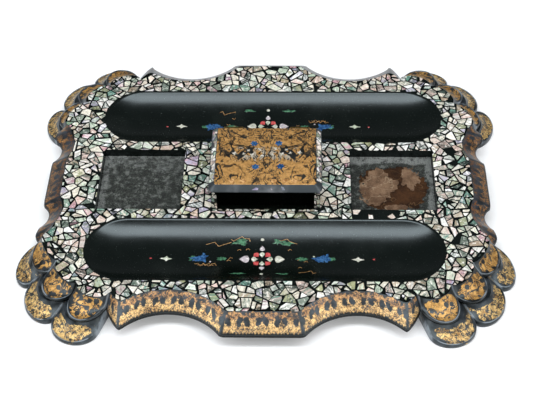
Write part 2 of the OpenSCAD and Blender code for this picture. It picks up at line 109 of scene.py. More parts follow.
TROUGH_LO, TROUGH_HI = box_mm("pen_trough_back")
TROUGH_RADIUS = (TROUGH_HI[1] - TROUGH_LO[1]) / 2
TROUGH_WALL = 1.6
TROUGH_LIP = 0.8
TROUGH_DEPTH = 8.5
TROUGH_STEPS = 36
BED_RINGS = 24
BELLY_RINGS = 10
BED_HALF = TROUGH_RADIUS - TROUGH_LIP
BED_RADIUS = (BED_HALF**2 + TROUGH_DEPTH**2) / (2 * TROUGH_DEPTH)
TROUGH_Y, TROUGH_ENDS = {}, {}
for trough in ("front", "back"):
    (x_low, y_low, _), (x_high, y_high, _) = box_mm("pen_trough_" + trough)
    TROUGH_Y[trough] = (y_low + y_high) / 2
    TROUGH_ENDS[trough] = (x_low + TROUGH_RADIUS, x_high - TROUGH_RADIUS)

WELL = 60.0
FITTINGS_Y = sum(TROUGH_Y.values()) / 2
WELL_X = sum(corner[0] for corner in box_mm("ink_well_right")) / 2
FELT_LO, FELT_HI = box_mm("well_felt_left")
BOX_LO, BOX_HI = box_mm("box_floor")
BOX_TOP = box_mm("box_wall_back")[1][2]
WALL = box_mm("box_wall_left")[1][0] - BOX_LO[0]
LID_LO, LID_HI = box_mm("lid_panel")
GILT_LO, GILT_HI = box_mm("lid_gilt_top")
LID_EDGE = 1.0
LID_CORNER = 4.2
LID_BACK_CORNER = 0.6
GILT_CORNER = 1.4
GILT_BACK_MARGIN = 1.2
FELT_MARGIN = 0.25
FACE_GAP = 0.02


# ---- Small maths ----
def lerp(a, b, t):
    return a + (b - a) * t


def mix2(p, q, t):
    return (lerp(p[0], q[0], t), lerp(p[1], q[1], t))


def smooth(edge0, edge1, x):
    t = min(1.0, max(0.0, (x - edge0) / (edge1 - edge0)))
    return t * t * (3 - 2 * t)


def arc(cx, cy, r, a0, a1, n):
    angles = [math.radians(lerp(a0, a1, i / n)) for i in range(n + 1)]
    return [(cx + r * math.cos(a), cy + r * math.sin(a)) for a in angles]


def fan_point(angle, r):
    a = math.radians(angle)
    return (FAN_CENTRE[0] + r * math.cos(a), FAN_CENTRE[1] + r * math.sin(a))


def srgb(*colour):
    """Linear colour of an 8-bit sRGB one."""
    return tuple(((c / 255 + 0.055) / 1.055) ** 2.4 if c > 10 else c / 255 / 12.92 for c in colour) + (1.0,)


def middle(points):
    return [sum(p[i] for p in points) / len(points) for i in (0, 1)]


def quads(a, b, n):
    """The faces between two rings of n points, the first of them at a and at b."""
    return [(a + i, a + (i + 1) % n, b + (i + 1) % n, b + i) for i in range(n)]


def pairs(loop):
    """Each point of a closed loop with the next one."""
    return zip(loop, loop[1:] + loop[:1])


# ---- Outlines ----
def long_half(out, width):
    """Half of a front or back run, from the middle to the notch. out is 0 at the deck and 1 at the foot."""
    cx, cy, r = LONG_ARC
    r -= out * (FOOT_ARC_SHARE * width + FOOT_ARC_TRIM)
    y = DECK_HALF_DEPTH + out * width
    cy += out * FOOT_ARC_SHIFT
    cusp = (94.6, lerp(116.2, 132.8, out))
    start = 180 + math.degrees(math.asin((cy - y) / r))
    stop = 360 - math.degrees(math.atan2(cy - cusp[1], cusp[0] - cx))
    end = fan_point(FAN_EDGES[3] + 0.3, lerp(106, 114.5, out))
    return (
        [(0.0, y), (12.0, y), (20.0, y)]
        + arc(cx, cy, r, start, stop - 4, 18)
        + [cusp, mix2((98.4, 112.4), (99.6, 125.6), out), end]
    )


def side_half(out):
    """Half of a side run, from the middle to the notch."""
    cx, cy, r = SIDE_ARC
    r -= out * (RIM_SIDE - 2)
    x = DECK_HALF_WIDTH + out * RIM_SIDE
    a = math.degrees(math.acos((cx - x) / r))
    end = fan_point(FAN_EDGES[0] - 0.3, lerp(98, 101.6, out))
    return (
        [(x, 0.0), (x, 8.0)]
        + arc(cx, cy, r, 180 + a, 180 - a, 12)
        + [mix2((147.3, 47.5), (161.2, 51.8), out), mix2((149.3, 52.8), (158.8, 56), out), end]
    )


def eased(points, passes=2):
    """The polyline with its corners cut back a little, its ends kept."""
    for _ in range(passes):
        cut = [points[0]]
        for p, q in zip(points, points[1:]):
            cut += [mix2(p, q, 0.25), mix2(p, q, 0.75)]
        points = cut + [points[-1]]
    return points


def whole_run(half, flip):
    """A run from one notch to the other: flip mirrors the first half."""
    return eased([flip(p) for p in half[:0:-1]] + half)


def long_run(out, width):
    return whole_run(long_half(out, width), lambda p: (-p[0], p[1]))


def side_run(out):
    return whole_run(side_half(out), lambda p: (p[0], -p[1]))


def lobe_radius(edges, k, s):
    ridges, lobes = edges
    bump = lobes[k] - (ridges[k] + ridges[k + 1]) / 2
    return lerp(ridges[k], ridges[k + 1], s) + bump * math.sqrt(max(0.0, 4 * s * (1 - s)))


def lobe_samples(steps, edges=FAN_EDGES):
    """(lobe, share of its width, angle) around a fan, closer together next to the ridges."""
    out = []
    for k in range(3):
        for i in range(steps + (k == 2)):
            s = 0.5 - 0.5 * math.cos(math.pi * i / steps)
            out.append((k, s, lerp(edges[k], edges[k + 1], s)))
    return out


def fan_edge(edges, inset=0.0, steps=14):
    return [fan_point(a, lobe_radius(edges, k, s) - inset) for k, s, a in lobe_samples(steps)]


def outline(out, edges, inset):
    """The tray's closed outline, clockwise from its back left notch."""
    back, front = long_run(out, RIM_BACK), long_run(out, RIM_FRONT)
    right = side_run(out)[::-1]

    def turned(points, sx, sy):
        points = [(sx * x, sy * y) for x, y in points]
        return points if sx * sy > 0 else points[::-1]

    quarter = fan_edge(edges, inset)[::-1]
    loop = back + quarter + right + turned(quarter, 1, -1) + turned(front, -1, -1)
    return loop + turned(quarter, -1, -1) + turned(right, -1, -1) + turned(quarter, -1, 1)


# ---- Meshes ----
def add(name, data):
    """A new object in the scene."""
    obj = bpy.data.objects.new(name, data)
    bpy.context.scene.collection.objects.link(obj)
    return obj


def new_object(name, verts, faces, material, body, replaces=(), slot=None, attributes=None, sharp=35):
    """One smooth-shaded object on a body, from points in millimetres."""
    mesh = bpy.data.meshes.new(name)
    mesh.from_pydata([(x * MM, y * MM, z * MM) for x, y, z in verts], [], faces)
    for key, values in (attributes or {}).items():
        layer = mesh.attributes.new(key, "FLOAT_VECTOR", "POINT")
        layer.data.foreach_set("vector", np.array(values, dtype=np.float32).ravel())
    tidy = bmesh.new()
    tidy.from_mesh(mesh)
    bmesh.ops.remove_doubles(tidy, verts=tidy.verts, dist=1e-6)
    bmesh.ops.recalc_face_normals(tidy, faces=tidy.faces)
    tidy.to_mesh(mesh)
    tidy.free()
    mesh.shade_smooth()
    mesh.set_sharp_from_angle(angle=math.radians(sharp))
    mesh.materials.append(material)
    obj = add(name, mesh)
    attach(obj, body)
    if replaces:
        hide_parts(*replaces)
    return obj


def skin(rings):
    """Vertices and faces of an open skin through rings that have the same number of points."""
    n = len(rings[0])
    return ([p for ring in rings for p in ring],
            [face for i in range(len(rings) - 1) for face in quads(i * n, (i + 1) * n, n)])


def loft(sections):
    """The same, closed at both ends."""
    n = len(sections[0])
    verts, faces = skin(sections)
    return verts, faces + [tuple(range(n - 1, -1, -1)), tuple(range(len(verts) - n, len(verts)))]


def plate(name, loops, z0, z1, material, body, **options):
    """A flat plate with an outer loop and holes, from z0 up to z1."""
    points = [Vector(p) for loop in loops for p in loop]
    edges = []
    start = 0
    for loop in loops:
        n = len(loop)
        edges += [(start + i, start + (i + 1) % n) for i in range(n)]
        start += n
    found = geometry.delaunay_2d_cdt(points, edges, [], 0, 1e-4)
    flat, tris = found[0], found[2]

    def solid(tri):
        x = sum(flat[i][0] for i in tri) / 3
        y = sum(flat[i][1] for i in tri) / 3
        return inside(loops[0], x, y) and not any(inside(hole, x, y) for hole in loops[1:])

    tris = [t for t in tris if solid(t)]
    mesh = bmesh.new()
    corners = [mesh.verts.new((p[0], p[1], z1)) for p in flat]
    for t in tris:
        mesh.faces.new([corners[i] for i in t])
    lower = bmesh.ops.extrude_face_region(mesh, geom=mesh.faces[:])
    moved = [g for g in lower["geom"] if isinstance(g, bmesh.types.BMVert)]
    bmesh.ops.translate(mesh, verts=moved, vec=(0, 0, z0 - z1))
    mesh.verts.ensure_lookup_table()
    loose = [v for v in mesh.verts if not v.link_faces]
    bmesh.ops.delete(mesh, geom=loose, context="VERTS")
    mesh.verts.index_update()
    verts = [tuple(v.co) for v in mesh.verts]
    faces = [[v.index for v in f.verts] for f in mesh.faces]
    mesh.free()
    return new_object(name, verts, faces, material, body, **options)


def rectangle(x0, x1, y0, y1):
    return [(x0, y0), (x1, y0), (x1, y1), (x0, y1)]


def inside(loop, x, y):
    hit = False
    for (x0, y0), (x1, y1) in pairs(loop):
        if (y0 > y) != (y1 > y) and x < (x1 - x0) * (y - y0) / (y1 - y0) + x0:
            hit = not hit
    return hit


def clip(poly, px, py, nx, ny):
    """The part of a convex polygon on the side of the line through p that n points to."""
    out = []
    for (x0, y0), (x1, y1) in pairs(poly):
        d0 = (x0 - px) * nx + (y0 - py) * ny
        d1 = (x1 - px) * nx + (y1 - py) * ny
        if d0 >= 0:
            out.append((x0, y0))
        if (d0 < 0) != (d1 < 0):
            t = d0 / (d0 - d1)
            out.append((x0 + (x1 - x0) * t, y0 + (y1 - y0) * t))
    return out


def area(poly):
    return 0.5 * abs(sum(x0 * y1 - x1 * y0 for (x0, y0), (x1, y1) in pairs(poly)))


# ---- Materials ----
def node_maths(operation, swapped=False):
    """An operator of Value that adds a Math node. swapped puts the other value first."""

    def operator(self, other=0.0):
        return self.graph.math(operation, *((other, self) if swapped else (self, other)))

    return operator


class Value:
    """A node's output. Arithmetic on it adds Math nodes to its tree."""

    def __init__(self, graph, socket):
        self.graph, self.socket = graph, socket

    __add__, __radd__ = node_maths("ADD"), node_maths("ADD", True)
    __sub__, __rsub__ = node_maths("SUBTRACT"), node_maths("SUBTRACT", True)
    __mul__, __truediv__ = node_maths("MULTIPLY"), node_maths("DIVIDE")
    __pow__, __abs__ = node_maths("POWER"), node_maths("ABSOLUTE")


INPUTS = {"color": "Base Color", "rough": "Roughness", "metal": "Metallic", "coat": "Coat Weight",
          "coat_rough": "Coat Roughness", "specular": "Specular IOR Level", "sheen": "Sheen Weight",
          "tint": "Specular Tint", "glow": "Emission Color", "glow_strength": "Emission Strength"}
COOL_SHEEN = (0.84, 0.96, 1.0, 1.0)


class Graph:
    """A material's node tree, with short calls for the nodes it needs."""

    def __init__(self, name):
        self.material = bpy.data.materials.new(name)
        self.material.use_nodes = True
        self.tree = self.material.node_tree
        self.tree.nodes.clear()
        self.shader = self.tree.nodes.new("ShaderNodeBsdfPrincipled")
        end = self.tree.nodes.new("ShaderNodeOutputMaterial")
        self.tree.links.new(self.shader.outputs["BSDF"], end.inputs["Surface"])

    def put(self, socket, value):
        if isinstance(value, Value):
            self.tree.links.new(value.socket, socket)
        else:
            socket.default_value = value

    def node(self, kind, inputs, output=0, **settings):
        """One output of a new node. inputs has a value for each socket, by name or number."""
        node = self.tree.nodes.new("ShaderNode" + kind)
        for key, value in settings.items():
            setattr(node, key, value)
        for key, value in inputs.items():
            self.put(node.inputs[key], value)
        return Value(self, node.outputs[output])

    def math(self, operation, a, b=0.0):
        return self.node("Math", {0: a, 1: b}, operation=operation)

    def max(self, a, b):
        return self.math("MAXIMUM", a, b)

    def pingpong(self, value, half):
        return self.math("PINGPONG", value, half)

    def position(self):
        """The point's place in the row frame, in millimetres."""
        place = self.node("TexCoord", {}, "Object")
        return self.node("VectorMath", {0: place, "Scale": 1 / MM}, operation="SCALE")

    def attribute(self, name):
        return self.node("Attribute", {}, "Vector", attribute_name=name)

    def split(self, vector):
        first = self.node("SeparateXYZ", {0: vector})
        return [Value(self, output) for output in first.socket.node.outputs]

    def join(self, x, y, z):
        return self.node("CombineXYZ", {0: x, 1: y, 2: z})

    def noise(self, vector, scale, detail=2.0, rough=0.5, distortion=0.0):
        return self.node("TexNoise", {"Vector": vector, "Scale": scale, "Detail": detail, "Roughness": rough,
                                      "Distortion": distortion}, "Fac")

    def cells(self, vector, scale):
        return self.node("TexVoronoi", {"Vector": vector, "Scale": scale}, "Distance")

    def step(self, value, low, high):
        """0 below low, 1 above high, smooth between. low may be above high."""
        inputs = {"Value": value, "From Min": min(low, high), "From Max": max(low, high)}
        rise = self.node("MapRange", inputs, "Result", interpolation_type="SMOOTHSTEP")
        return rise if low < high else 1.0 - rise

    def mix(self, factor, a, b, blend="MIX"):
        return self.node("Mix", {0: factor, 6: a, 7: b}, 2, data_type="RGBA", blend_type=blend)

    def bump(self, height, strength, distance):
        bump = self.node("Bump", {"Strength": strength, "Distance": distance, "Height": height})
        self.put(self.shader.inputs["Normal"], bump)

    def set(self, **values):
        for key, value in values.items():
            self.put(self.shader.inputs[INPUTS[key]], value)
        return self.material


def lacquer(name="black_lacquer", tone=srgb(4, 9, 6), worn=srgb(15, 20, 17), shine=0.2, specular=0.55):
    """Black lacquer: deep gloss with fine dust, faint scratches and worn, greyer patches."""
    g = Graph(name)
    at = g.position()
    patches = g.noise(at, 0.035, 4, 0.6)
    specks = g.step(g.noise(at, 1.5, 3, 0.7), 0.7, 0.78)
    dust = g.step(g.noise(at, 0.55, 5, 0.85), 0.6, 0.7)
    base = g.mix(g.step(patches, 0.45, 0.75), tone, worn)
    base = g.mix(dust * 0.22, base, srgb(88, 92, 88))
    g.bump(g.noise(at, 0.18, 3, 0.5), 0.12, 0.0002)
    rough = patches * 0.14 + dust * 0.16
    return g.set(color=g.mix(specks * 0.4, base, srgb(120, 118, 110)),
                 rough=rough + (shine - 0.06), specular=specular, tint=COOL_SHEEN)


def gilt_colour(g, at, low, high):
    """Rubbed gold leaf between two colours, with paler, brighter and redder patches."""
    tone = g.noise(at, 0.3, 5, 0.7)
    gold = g.mix(g.step(tone, 0.32, 0.66), low, high)
    fleck = g.step(g.noise(at, 0.75, 4, 0.75), 0.6, 0.68)
    return g.mix(fleck * 0.6, gold, srgb(250, 228, 172))


def gilt(g, mask, gold, black_low, black_high, shine=0.3, metal=0.6):
    """Gold where mask is 1 and black lacquer where it is 0."""
    at = g.position()
    black = g.mix(g.step(g.noise(at, 0.16, 4, 0.6), 0.35, 0.7), black_low, black_high)
    fine = g.noise(at, 2.2, 3)
    g.bump(mask * 0.5 + fine * 0.5, 0.3, 0.0002)
    rough = shine + mask * 0.1
    return g.set(color=g.mix(mask, black, gold), metal=mask * metal, rough=rough, tint=COOL_SHEEN)


def rim_material(name, low, high, rub=0.0):
    """Gilt rim: a thin gold stem every 12 mm between black leaves, redder gold above and paler below."""
    g = Graph(name)
    along, across, ends = g.split(g.attribute("strip"))
    at = g.position()
    wobble = g.noise(at, 0.3, 4, 0.65) - 0.5
    ragged = (g.noise(at, 0.22, 5, 0.8) - 0.5) * 3.6
    period = 12.4
    u = g.pingpong(along + wobble * 3.0, period / 2)
    v = across + wobble * 0.2
    du = (u - 2.4) / 2.1
    dv = (v - (0.4 + u * 0.02)) / 0.19
    leaf = abs(du) ** 2.2 + abs(dv) ** 1.6
    leaf = g.step(leaf + ragged, 1.1, 0.85)
    notch = g.step(u, 1.3, 0.7) * g.step(v, 0.2, 0.13)
    arch = g.step(u, 4.8, 6.0) * 0.06
    top = g.step(across + (arch + wobble * 0.12), 0.04, 0.07)
    comb = g.pingpong(u + wobble * 3.0, 1.1)
    foot = g.step(v + comb * 0.07, 0.99, 0.92)
    lines = g.step(abs(g.noise(at, 0.36, 3, 0.6, 1.2) - 0.5), 0.05, 0.02)
    dots = g.step(g.cells(at, 0.3), 0.26, 0.18)
    upper = g.step(v, 0.42, 0.34)
    dark = g.max(leaf, g.max(lines, dots) * 0.85)
    dark = g.max(dark, notch)
    mask = top * foot * g.step(ends, 0.9, 2.0)
    mask = mask * (1.0 - dark)
    bare = g.noise(at, 0.3, 6, 0.85) + upper * -0.035
    rubbed = g.step(bare, 0.4 + rub, 0.46 + rub)
    mask = mask * rubbed
    gold = gilt_colour(g, at, low, high)
    gold = g.mix(upper * 0.85, gold, srgb(200, 180, 176), "MULTIPLY")
    # Painted shade: the black goes darker towards the rim's outer foot.
    shade = g.step(across, 0.9, 0.97)
    low_black = g.mix(shade, srgb(14, 17, 20), srgb(4, 6, 6))
    high_black = g.mix(shade, srgb(54, 60, 68), srgb(9, 11, 12))
    return gilt(g, mask, gold, low_black, high_black)


def fan_material(name, upper):
    """Fan lobes: black lacquer, with a gilt patch on an upper lobe, gilt scrollwork on a lower one, and
    painted highlights along the lips and ridges.
    """
    g = Graph(name)
    s, t = g.split(g.attribute("lobe"))[:2]
    at = g.position()
    warp = (g.noise(at, 0.13, 4, 0.65) - 0.5) * (1.3 if upper else 3.4)
    ds = (s - (0.5 if upper else 0.48)) / (0.42 if upper else 0.45)
    dt = (t - (0.47 if upper else 0.55)) / (0.45 if upper else 0.4)
    patch = abs(ds) ** 3.0 + abs(dt) ** 3.0
    patch = g.step(patch + warp, 1.0, 0.88)
    if upper:
        blots = g.step(g.cells(at, 0.2) + warp * 0.5, 0.33, 0.38)
        vein = g.step(abs(g.noise(at, 0.1, 3, 0.6, 0.8) - 0.5), 0.012, 0.035)
        mask = patch * (blots * vein)
        gold = gilt_colour(g, at, srgb(132, 92, 44), srgb(216, 168, 96))
    else:
        scroll = g.step(abs(g.noise(at, 0.16, 4, 0.7, 1.6) - 0.5), 0.13, 0.09)
        specks = g.step(g.noise(at, 0.42, 5, 0.8), 0.46, 0.5)
        mask = patch * (scroll * specks)
        gold = gilt_colour(g, at, srgb(140, 98, 46), srgb(240, 204, 134))
    rubbed = g.step(g.noise(at, 0.6, 5, 0.8), 0.38, 0.44)
    low, high = (srgb(14, 16, 17), srgb(50, 54, 58)) if upper else (srgb(16, 19, 21), srgb(58, 64, 70))
    # Painted highlight: pale grey-blue lines along each lobe's lip and ridges, mixed into the black lacquer.
    lip = g.step(t, 0.9, 0.96) * g.step(t, 0.9995, 0.985)
    ridge_highlight = g.step(abs(s - 0.5), 0.46, 0.49)
    lip = g.max(lip, ridge_highlight) * g.step(g.noise(at, 0.1, 3), 0.4, 0.58)
    low = g.mix(lip * 0.75, low, srgb(136, 146, 154))
    high = g.mix(lip * 0.75, high, srgb(160, 168, 176))
    return gilt(g, mask * rubbed, gold, low, high, 0.32, 0.5)


def nacre_material():
    """Polished shell: each piece runs between its own two tints, in growth bands along its own direction."""
    g = Graph("pearl_shell")
    first, second = g.attribute("tint"), g.attribute("tint_two")
    grain = g.attribute("grain")
    x, y, seed = g.split(grain)
    bend = g.noise(grain, 0.3, 3) * 2.4
    bands = g.noise(g.join(x * 0.12, y * 0.75 + bend, seed), 1.0, 4, 0.7)
    lines = g.noise(g.join(x * 0.15, y * 3.4, seed), 1.0, 3, 0.7)
    clouds = g.noise(grain, 0.42, 4, 0.65)
    colour = g.mix(g.step(bands, 0.4, 0.62), first, second)
    colour = g.mix(g.step(lines, 0.5, 0.62) * 0.42, colour, srgb(132, 136, 128), "MULTIPLY")
    # Painted highlight: bright white patches of lustre within each piece.
    colour = g.mix(g.step(clouds, 0.54, 0.66) * 0.8, colour, srgb(250, 247, 240))
    colour = g.mix(g.step(clouds, 0.44, 0.34) * 0.6, colour, srgb(110, 116, 108), "MULTIPLY")
    g.bump(bands + lines, 0.14, 0.0001)
    return g.set(color=colour, rough=0.14 + clouds * 0.2, specular=0.6)


def plain_inlay(name, colour, spread):
    """Painted shell under varnish: one hue, mottled."""
    g = Graph(name)
    at = g.position()
    tone = g.noise(at, 0.7, 4, 0.6)
    g.bump(tone, 0.1, 0.0001)
    return g.set(color=g.mix(g.step(tone, 0.35, 0.68), colour, spread), rough=0.22, coat=0.4, coat_rough=0.08)


def lid_gilt_material():
    """Gilt lid top: gold ground, black scroll lines, a paler flower band across the middle and worn edges."""
    g = Graph("gilt_lid")
    at = g.position()
    x, y, z = g.split(at)
    sway = (g.noise(at, 0.1, 3) - 0.5) * 5.0
    mirrored = g.join(abs(x + sway * 1.6 - 0.6), y * 0.72, z + 47.0)
    field = g.noise(mirrored, 0.05, 3, 0.5, 1.4)
    wide = g.step(g.pingpong(field * 4.0, 0.5), 0.09, 0.045)
    fine = g.step(g.pingpong(g.noise(mirrored, 0.13, 2, 0.55, 1.4) * 5.0, 0.5), 0.15, 0.08)
    band_y = (GILT_LO[1] + GILT_HI[1]) / 2 + 1.5
    band = g.step(abs(y + sway - band_y), 9.0, 5.0)
    centre = g.step(abs(x), 26.0, 16.0)
    edge_x = g.step(abs(x + sway), 26.0, 31.0)
    back = g.step(y + sway * 0.7, GILT_HI[1] - 13, GILT_HI[1] - 8)
    busy = g.max(g.step(g.noise(mirrored, 0.055, 2), 0.54, 0.58), g.max(band, edge_x))
    fine = fine * g.max(busy, back)
    blots = g.step(g.noise(mirrored, 0.1, 4, 0.65, 1.0), 0.59, 0.62)
    spots = g.step(g.noise(at, 0.3, 5, 0.78), 0.37, 0.42)
    dark = g.max(g.max(wide, fine), blots * 0.9)
    mask = (1.0 - dark) * spots
    gold = gilt_colour(g, at, srgb(156, 112, 58), srgb(216, 166, 100))
    pale = band * centre * g.step(g.noise(mirrored, 0.22, 3, 0.6), 0.5, 0.56)
    gold = g.mix(pale * 0.8, gold, srgb(196, 192, 178))
    return gilt(g, mask, gold, srgb(7, 8, 8), srgb(40, 40, 38), 0.34, 0.4)


def felt_material(name, dark, pale):
    """Worn felt: granular nap with fibres in two directions and dusty pale places along the edges."""
    g = Graph(name)
    at = g.position()
    x, y, z = g.split(at)
    lengthways, across = g.join(x * 3.0, y * 0.7, z), g.join(x * 0.7, y * 3.0, z)
    fibres = g.noise(lengthways, 1.0, 4, 0.75, 1.0) + g.noise(across, 1.0, 4, 0.75, 1.0)
    grains = g.noise(at, 1.1, 5, 0.85)
    worn = g.noise(at, 0.12, 5, 0.7) + g.split(g.attribute("worn"))[0] * 0.5
    g.bump(fibres + grains, 0.9, 0.0005)
    colour = g.mix(g.step(worn, 0.5, 0.9), dark, pale)
    mottle = g.noise(at, 0.2, 6, 0.82)
    for value, low, high, share, tone in (
        (mottle, 0.5, 0.43, 0.8, (16, 20, 18)), (mottle, 0.52, 0.6, 0.6, (128, 132, 128)),
        (grains, 0.5, 0.42, 0.6, (14, 17, 16)), (grains, 0.56, 0.7, 0.55, (138, 140, 134)),
        (fibres, 1.06, 1.3, 0.3, (170, 168, 158)),
    ):
        colour = g.mix(g.step(value, low, high) * share, colour, srgb(*tone))
    return g.set(color=colour, rough=0.95, specular=0.1, sheen=0.15)


def paper_material(name, dark, pale, fibre=srgb(172, 150, 124)):
    """Bare pulp where the lining tore away: blotched, creased, fibrous and matt."""
    g = Graph(name)
    at = g.position()
    blotch = g.noise(at, 0.1, 5, 0.7)
    fine = g.noise(at, 1.4, 5, 0.8)
    crease = g.step(abs(g.noise(at, 0.055, 3, 0.6, 0.4) - 0.5), 0.012, 0.003)
    g.bump(fine + (g.noise(at, 0.3, 3) + crease), 0.8, 0.0006)
    colour = g.mix(g.step(blotch, 0.35, 0.65), dark, pale)
    colour = g.mix(g.step(fine, 0.46, 0.38) * 0.5, colour, srgb(120, 112, 104), "MULTIPLY")
    colour = g.mix(crease * 0.6, colour, fibre)
    return g.set(color=g.mix(g.step(fine, 0.55, 0.72) * 0.4, colour, fibre), rough=0.9, specular=0.15)


def brass_material():
    """Old brass: dull yellow with brown tarnish and fine scratches."""
    g = Graph("brass")
    at = g.position()
    tarnish = g.noise(at, 0.6, 5, 0.7)
    x, y, z = g.split(at)
    scratch = g.noise(g.join(x, y * 9.0, z), 1.6, 3)
    g.bump(scratch, 0.15, 0.0001)
    return g.set(color=g.mix(g.step(tarnish, 0.4, 0.68), srgb(196, 160, 92), srgb(96, 66, 34)), metal=1.0,
                 rough=0.25 + tarnish * 0.3)


LACQUER = lacquer()
NACRE = nacre_material()
# The back and side rims get darker, browner copies of the front rim's gold: painted shade for how light falls
# on them at a grazing angle. Their extra rub is wear.
RIMS = {
    "front": rim_material("gilt_rim", srgb(164, 118, 66), srgb(246, 206, 142)),
    "back": rim_material("gilt_rim_back_shaded", srgb(84, 66, 50), srgb(126, 100, 74), 0.08),
    "left": rim_material("gilt_rim_side_shaded", srgb(104, 74, 44), srgb(178, 126, 70), 0.03),
}
RIMS["right"] = RIMS["left"]
FAN_UPPER = fan_material("gilt_fan_upper", True)
FAN_LOWER = fan_material("gilt_fan_lower", False)
LID_GILT = lid_gilt_material()
BRASS = brass_material()
FELT = felt_material("felt", srgb(36, 42, 38), srgb(126, 130, 128))
BAIZE = felt_material("baize", srgb(30, 56, 40), srgb(58, 84, 62))
TAN_PAPER = paper_material("bare_paper", srgb(88, 66, 50), srgb(132, 106, 84))
BROWN_BOARD = paper_material("bare_board", srgb(38, 24, 15), srgb(74, 48, 28), srgb(104, 78, 52))
LINING = paper_material("lining_paper", srgb(74, 22, 26), srgb(100, 34, 36), srgb(130, 70, 66))
RED = plain_inlay("red_inlay", srgb(176, 56, 60), srgb(214, 104, 100))
BLUE = plain_inlay("blue_inlay", srgb(18, 56, 104), srgb(64, 112, 160))
GREEN = plain_inlay("green_inlay", srgb(38, 76, 56), srgb(84, 138, 104))
OCHRE = plain_inlay("ochre_inlay", srgb(150, 104, 56), srgb(222, 176, 120))
LID_LACQUER = lacquer("lid_lacquer", srgb(44, 48, 52), srgb(112, 114, 118), 0.36)
EDGE_LACQUER = lacquer("edge_lacquer", srgb(5, 7, 7), srgb(24, 27, 28), 0.45, 0.2)

# ---- Shell pieces ----
rng = random.Random(11)
TINTS = [
    (20, (238, 230, 214)), (20, (253, 251, 246)), (11, (226, 200, 190)), (12, (196, 210, 190)),
    (6, (168, 170, 132)), (12, (132, 144, 132)), (11, (82, 98, 90)), (6, (108, 150, 136)),
    (3, (200, 154, 166)), (8, (184, 164, 142)), (4, (180, 174, 196)), (6, (50, 60, 56)),
]


def tones(*colours):
    return [srgb(*colour)[:3] for colour in colours]


def random_tint():
    base = rng.choices([t for _, t in TINTS], [w for w, _ in TINTS])[0]
    shade = rng.uniform(0.84, 1.08)
    return [min(1.0, c) for c in srgb(*[min(255, v * shade) for v in base])[:3]]


def split(poly, target):
    """The convex polygon broken by straight cuts until each piece is near a random size."""
    if len(poly) < 3:
        return []
    if area(poly) < target * rng.uniform(0.55, 1.9):
        return [poly]
    p, q = max(pairs(poly), key=lambda edge: math.dist(*edge))
    turn = math.atan2(q[1] - p[1], q[0] - p[0]) + rng.uniform(-0.75, 0.75)
    share = rng.uniform(0.32, 0.68)
    cx, cy = mix2(middle(poly), mix2(p, q, share), 0.5)
    nx, ny = math.cos(turn), math.sin(turn)
    return split(clip(poly, cx, cy, nx, ny), target) + split(clip(poly, cx, cy, -nx, -ny), target)


def drawn_in(poly, low, high):
    """The polygon with each edge moved in by a random gap, and now and then a corner knocked off."""
    cx, cy = middle(poly)
    out = poly
    for (x0, y0), (x1, y1) in pairs(poly):
        size = math.hypot(x1 - x0, y1 - y0)
        if size < 1e-6 or len(out) < 3:
            continue
        nx, ny = (y0 - y1) / size, (x1 - x0) / size
        if (cx - x0) * nx + (cy - y0) * ny < 0:
            nx, ny = -nx, -ny
        gap = rng.uniform(low, high) + (rng.uniform(0.3, 1.1) if rng.random() < 0.1 else 0.0)
        out = clip(out, x0 + nx * gap, y0 + ny * gap, nx, ny)
    if len(out) >= 3 and rng.random() < 0.45:
        x, y = rng.choice(out)
        share = rng.uniform(0.62, 0.86)
        turn = math.atan2(cy - y, cx - x) + rng.uniform(-0.5, 0.5)
        out = clip(out, lerp(cx, x, share), lerp(cy, y, share), math.cos(turn), math.sin(turn))
    return out


def shard_cells(x0, x1, y0, y1, spacing, field, margin, target=20.0, gaps=(0.16, 0.42), lost=0.03):
    """Broken convex pieces that fill the part of a rectangle where field(x, y) is over margin."""
    seeds = []
    for j in range(int((y1 - y0) / (spacing * 0.9)) + 2):
        for i in range(int((x1 - x0) / spacing) + 2):
            x = x0 + (i + 0.5 * (j % 2) + rng.uniform(-0.48, 0.48)) * spacing
            y = y0 + (j + rng.uniform(-0.48, 0.48)) * spacing * 0.9
            if field(x, y) > -spacing * 0.8:
                seeds.append((x, y))
    places = np.array(seeds)
    cells = []
    for x, y in seeds:
        d = np.hypot(places[:, 0] - x, places[:, 1] - y)
        reach = spacing * 0.95
        poly = rectangle(x - reach, x + reach, y - reach, y + reach)
        for k in np.argsort(d)[1:SHARD_NEIGHBOURS + 1]:
            qx, qy = places[k]
            poly = clip(poly, (x + qx) / 2, (y + qy) / 2, (x - qx) / d[k], (y - qy) / d[k])
            if len(poly) < 3:
                break
        for piece in split(poly, target):
            if rng.random() < lost:
                continue
            fitted = [fit(drawn_in(piece, *gaps), field, margin)]
            if len(fitted[0]) < 3:
                fitted = [fit(drawn_in(part, *gaps), field, margin) for part in split(piece, target / 4)]
            cells += [part for part in fitted if len(part) >= 3 and area(part) > SMALLEST_SHARD]
    return cells


def fit(poly, field, margin):
    """The polygon cut back to where field is over margin, one straight cut at a time."""
    for _ in range(SHARD_CUTS):
        if len(poly) < 3:
            return []
        samples = poly + [mix2(p, q, 0.5) for p, q in pairs(poly)]
        depth, (x, y) = min((field(*p), p) for p in samples)
        if depth >= margin - SHARD_FIT:
            return poly
        e = 0.05
        gx = field(x + e, y) - field(x - e, y)
        gy = field(x, y + e) - field(x, y - e)
        size = math.hypot(gx, gy)
        if size < 1e-6:
            return []
        gx, gy = gx / size, gy / size
        push = margin - depth
        poly = clip(poly, x + gx * push, y + gy * push, gx, gy)
    return []


def chip_sides(start, n):
    """The underside and two bands of sides of a piece whose three rings begin at start."""
    under = tuple(range(start + n - 1, start - 1, -1))
    return [under] + quads(start, start + n, n) + quads(start + n, start + 2 * n, n)


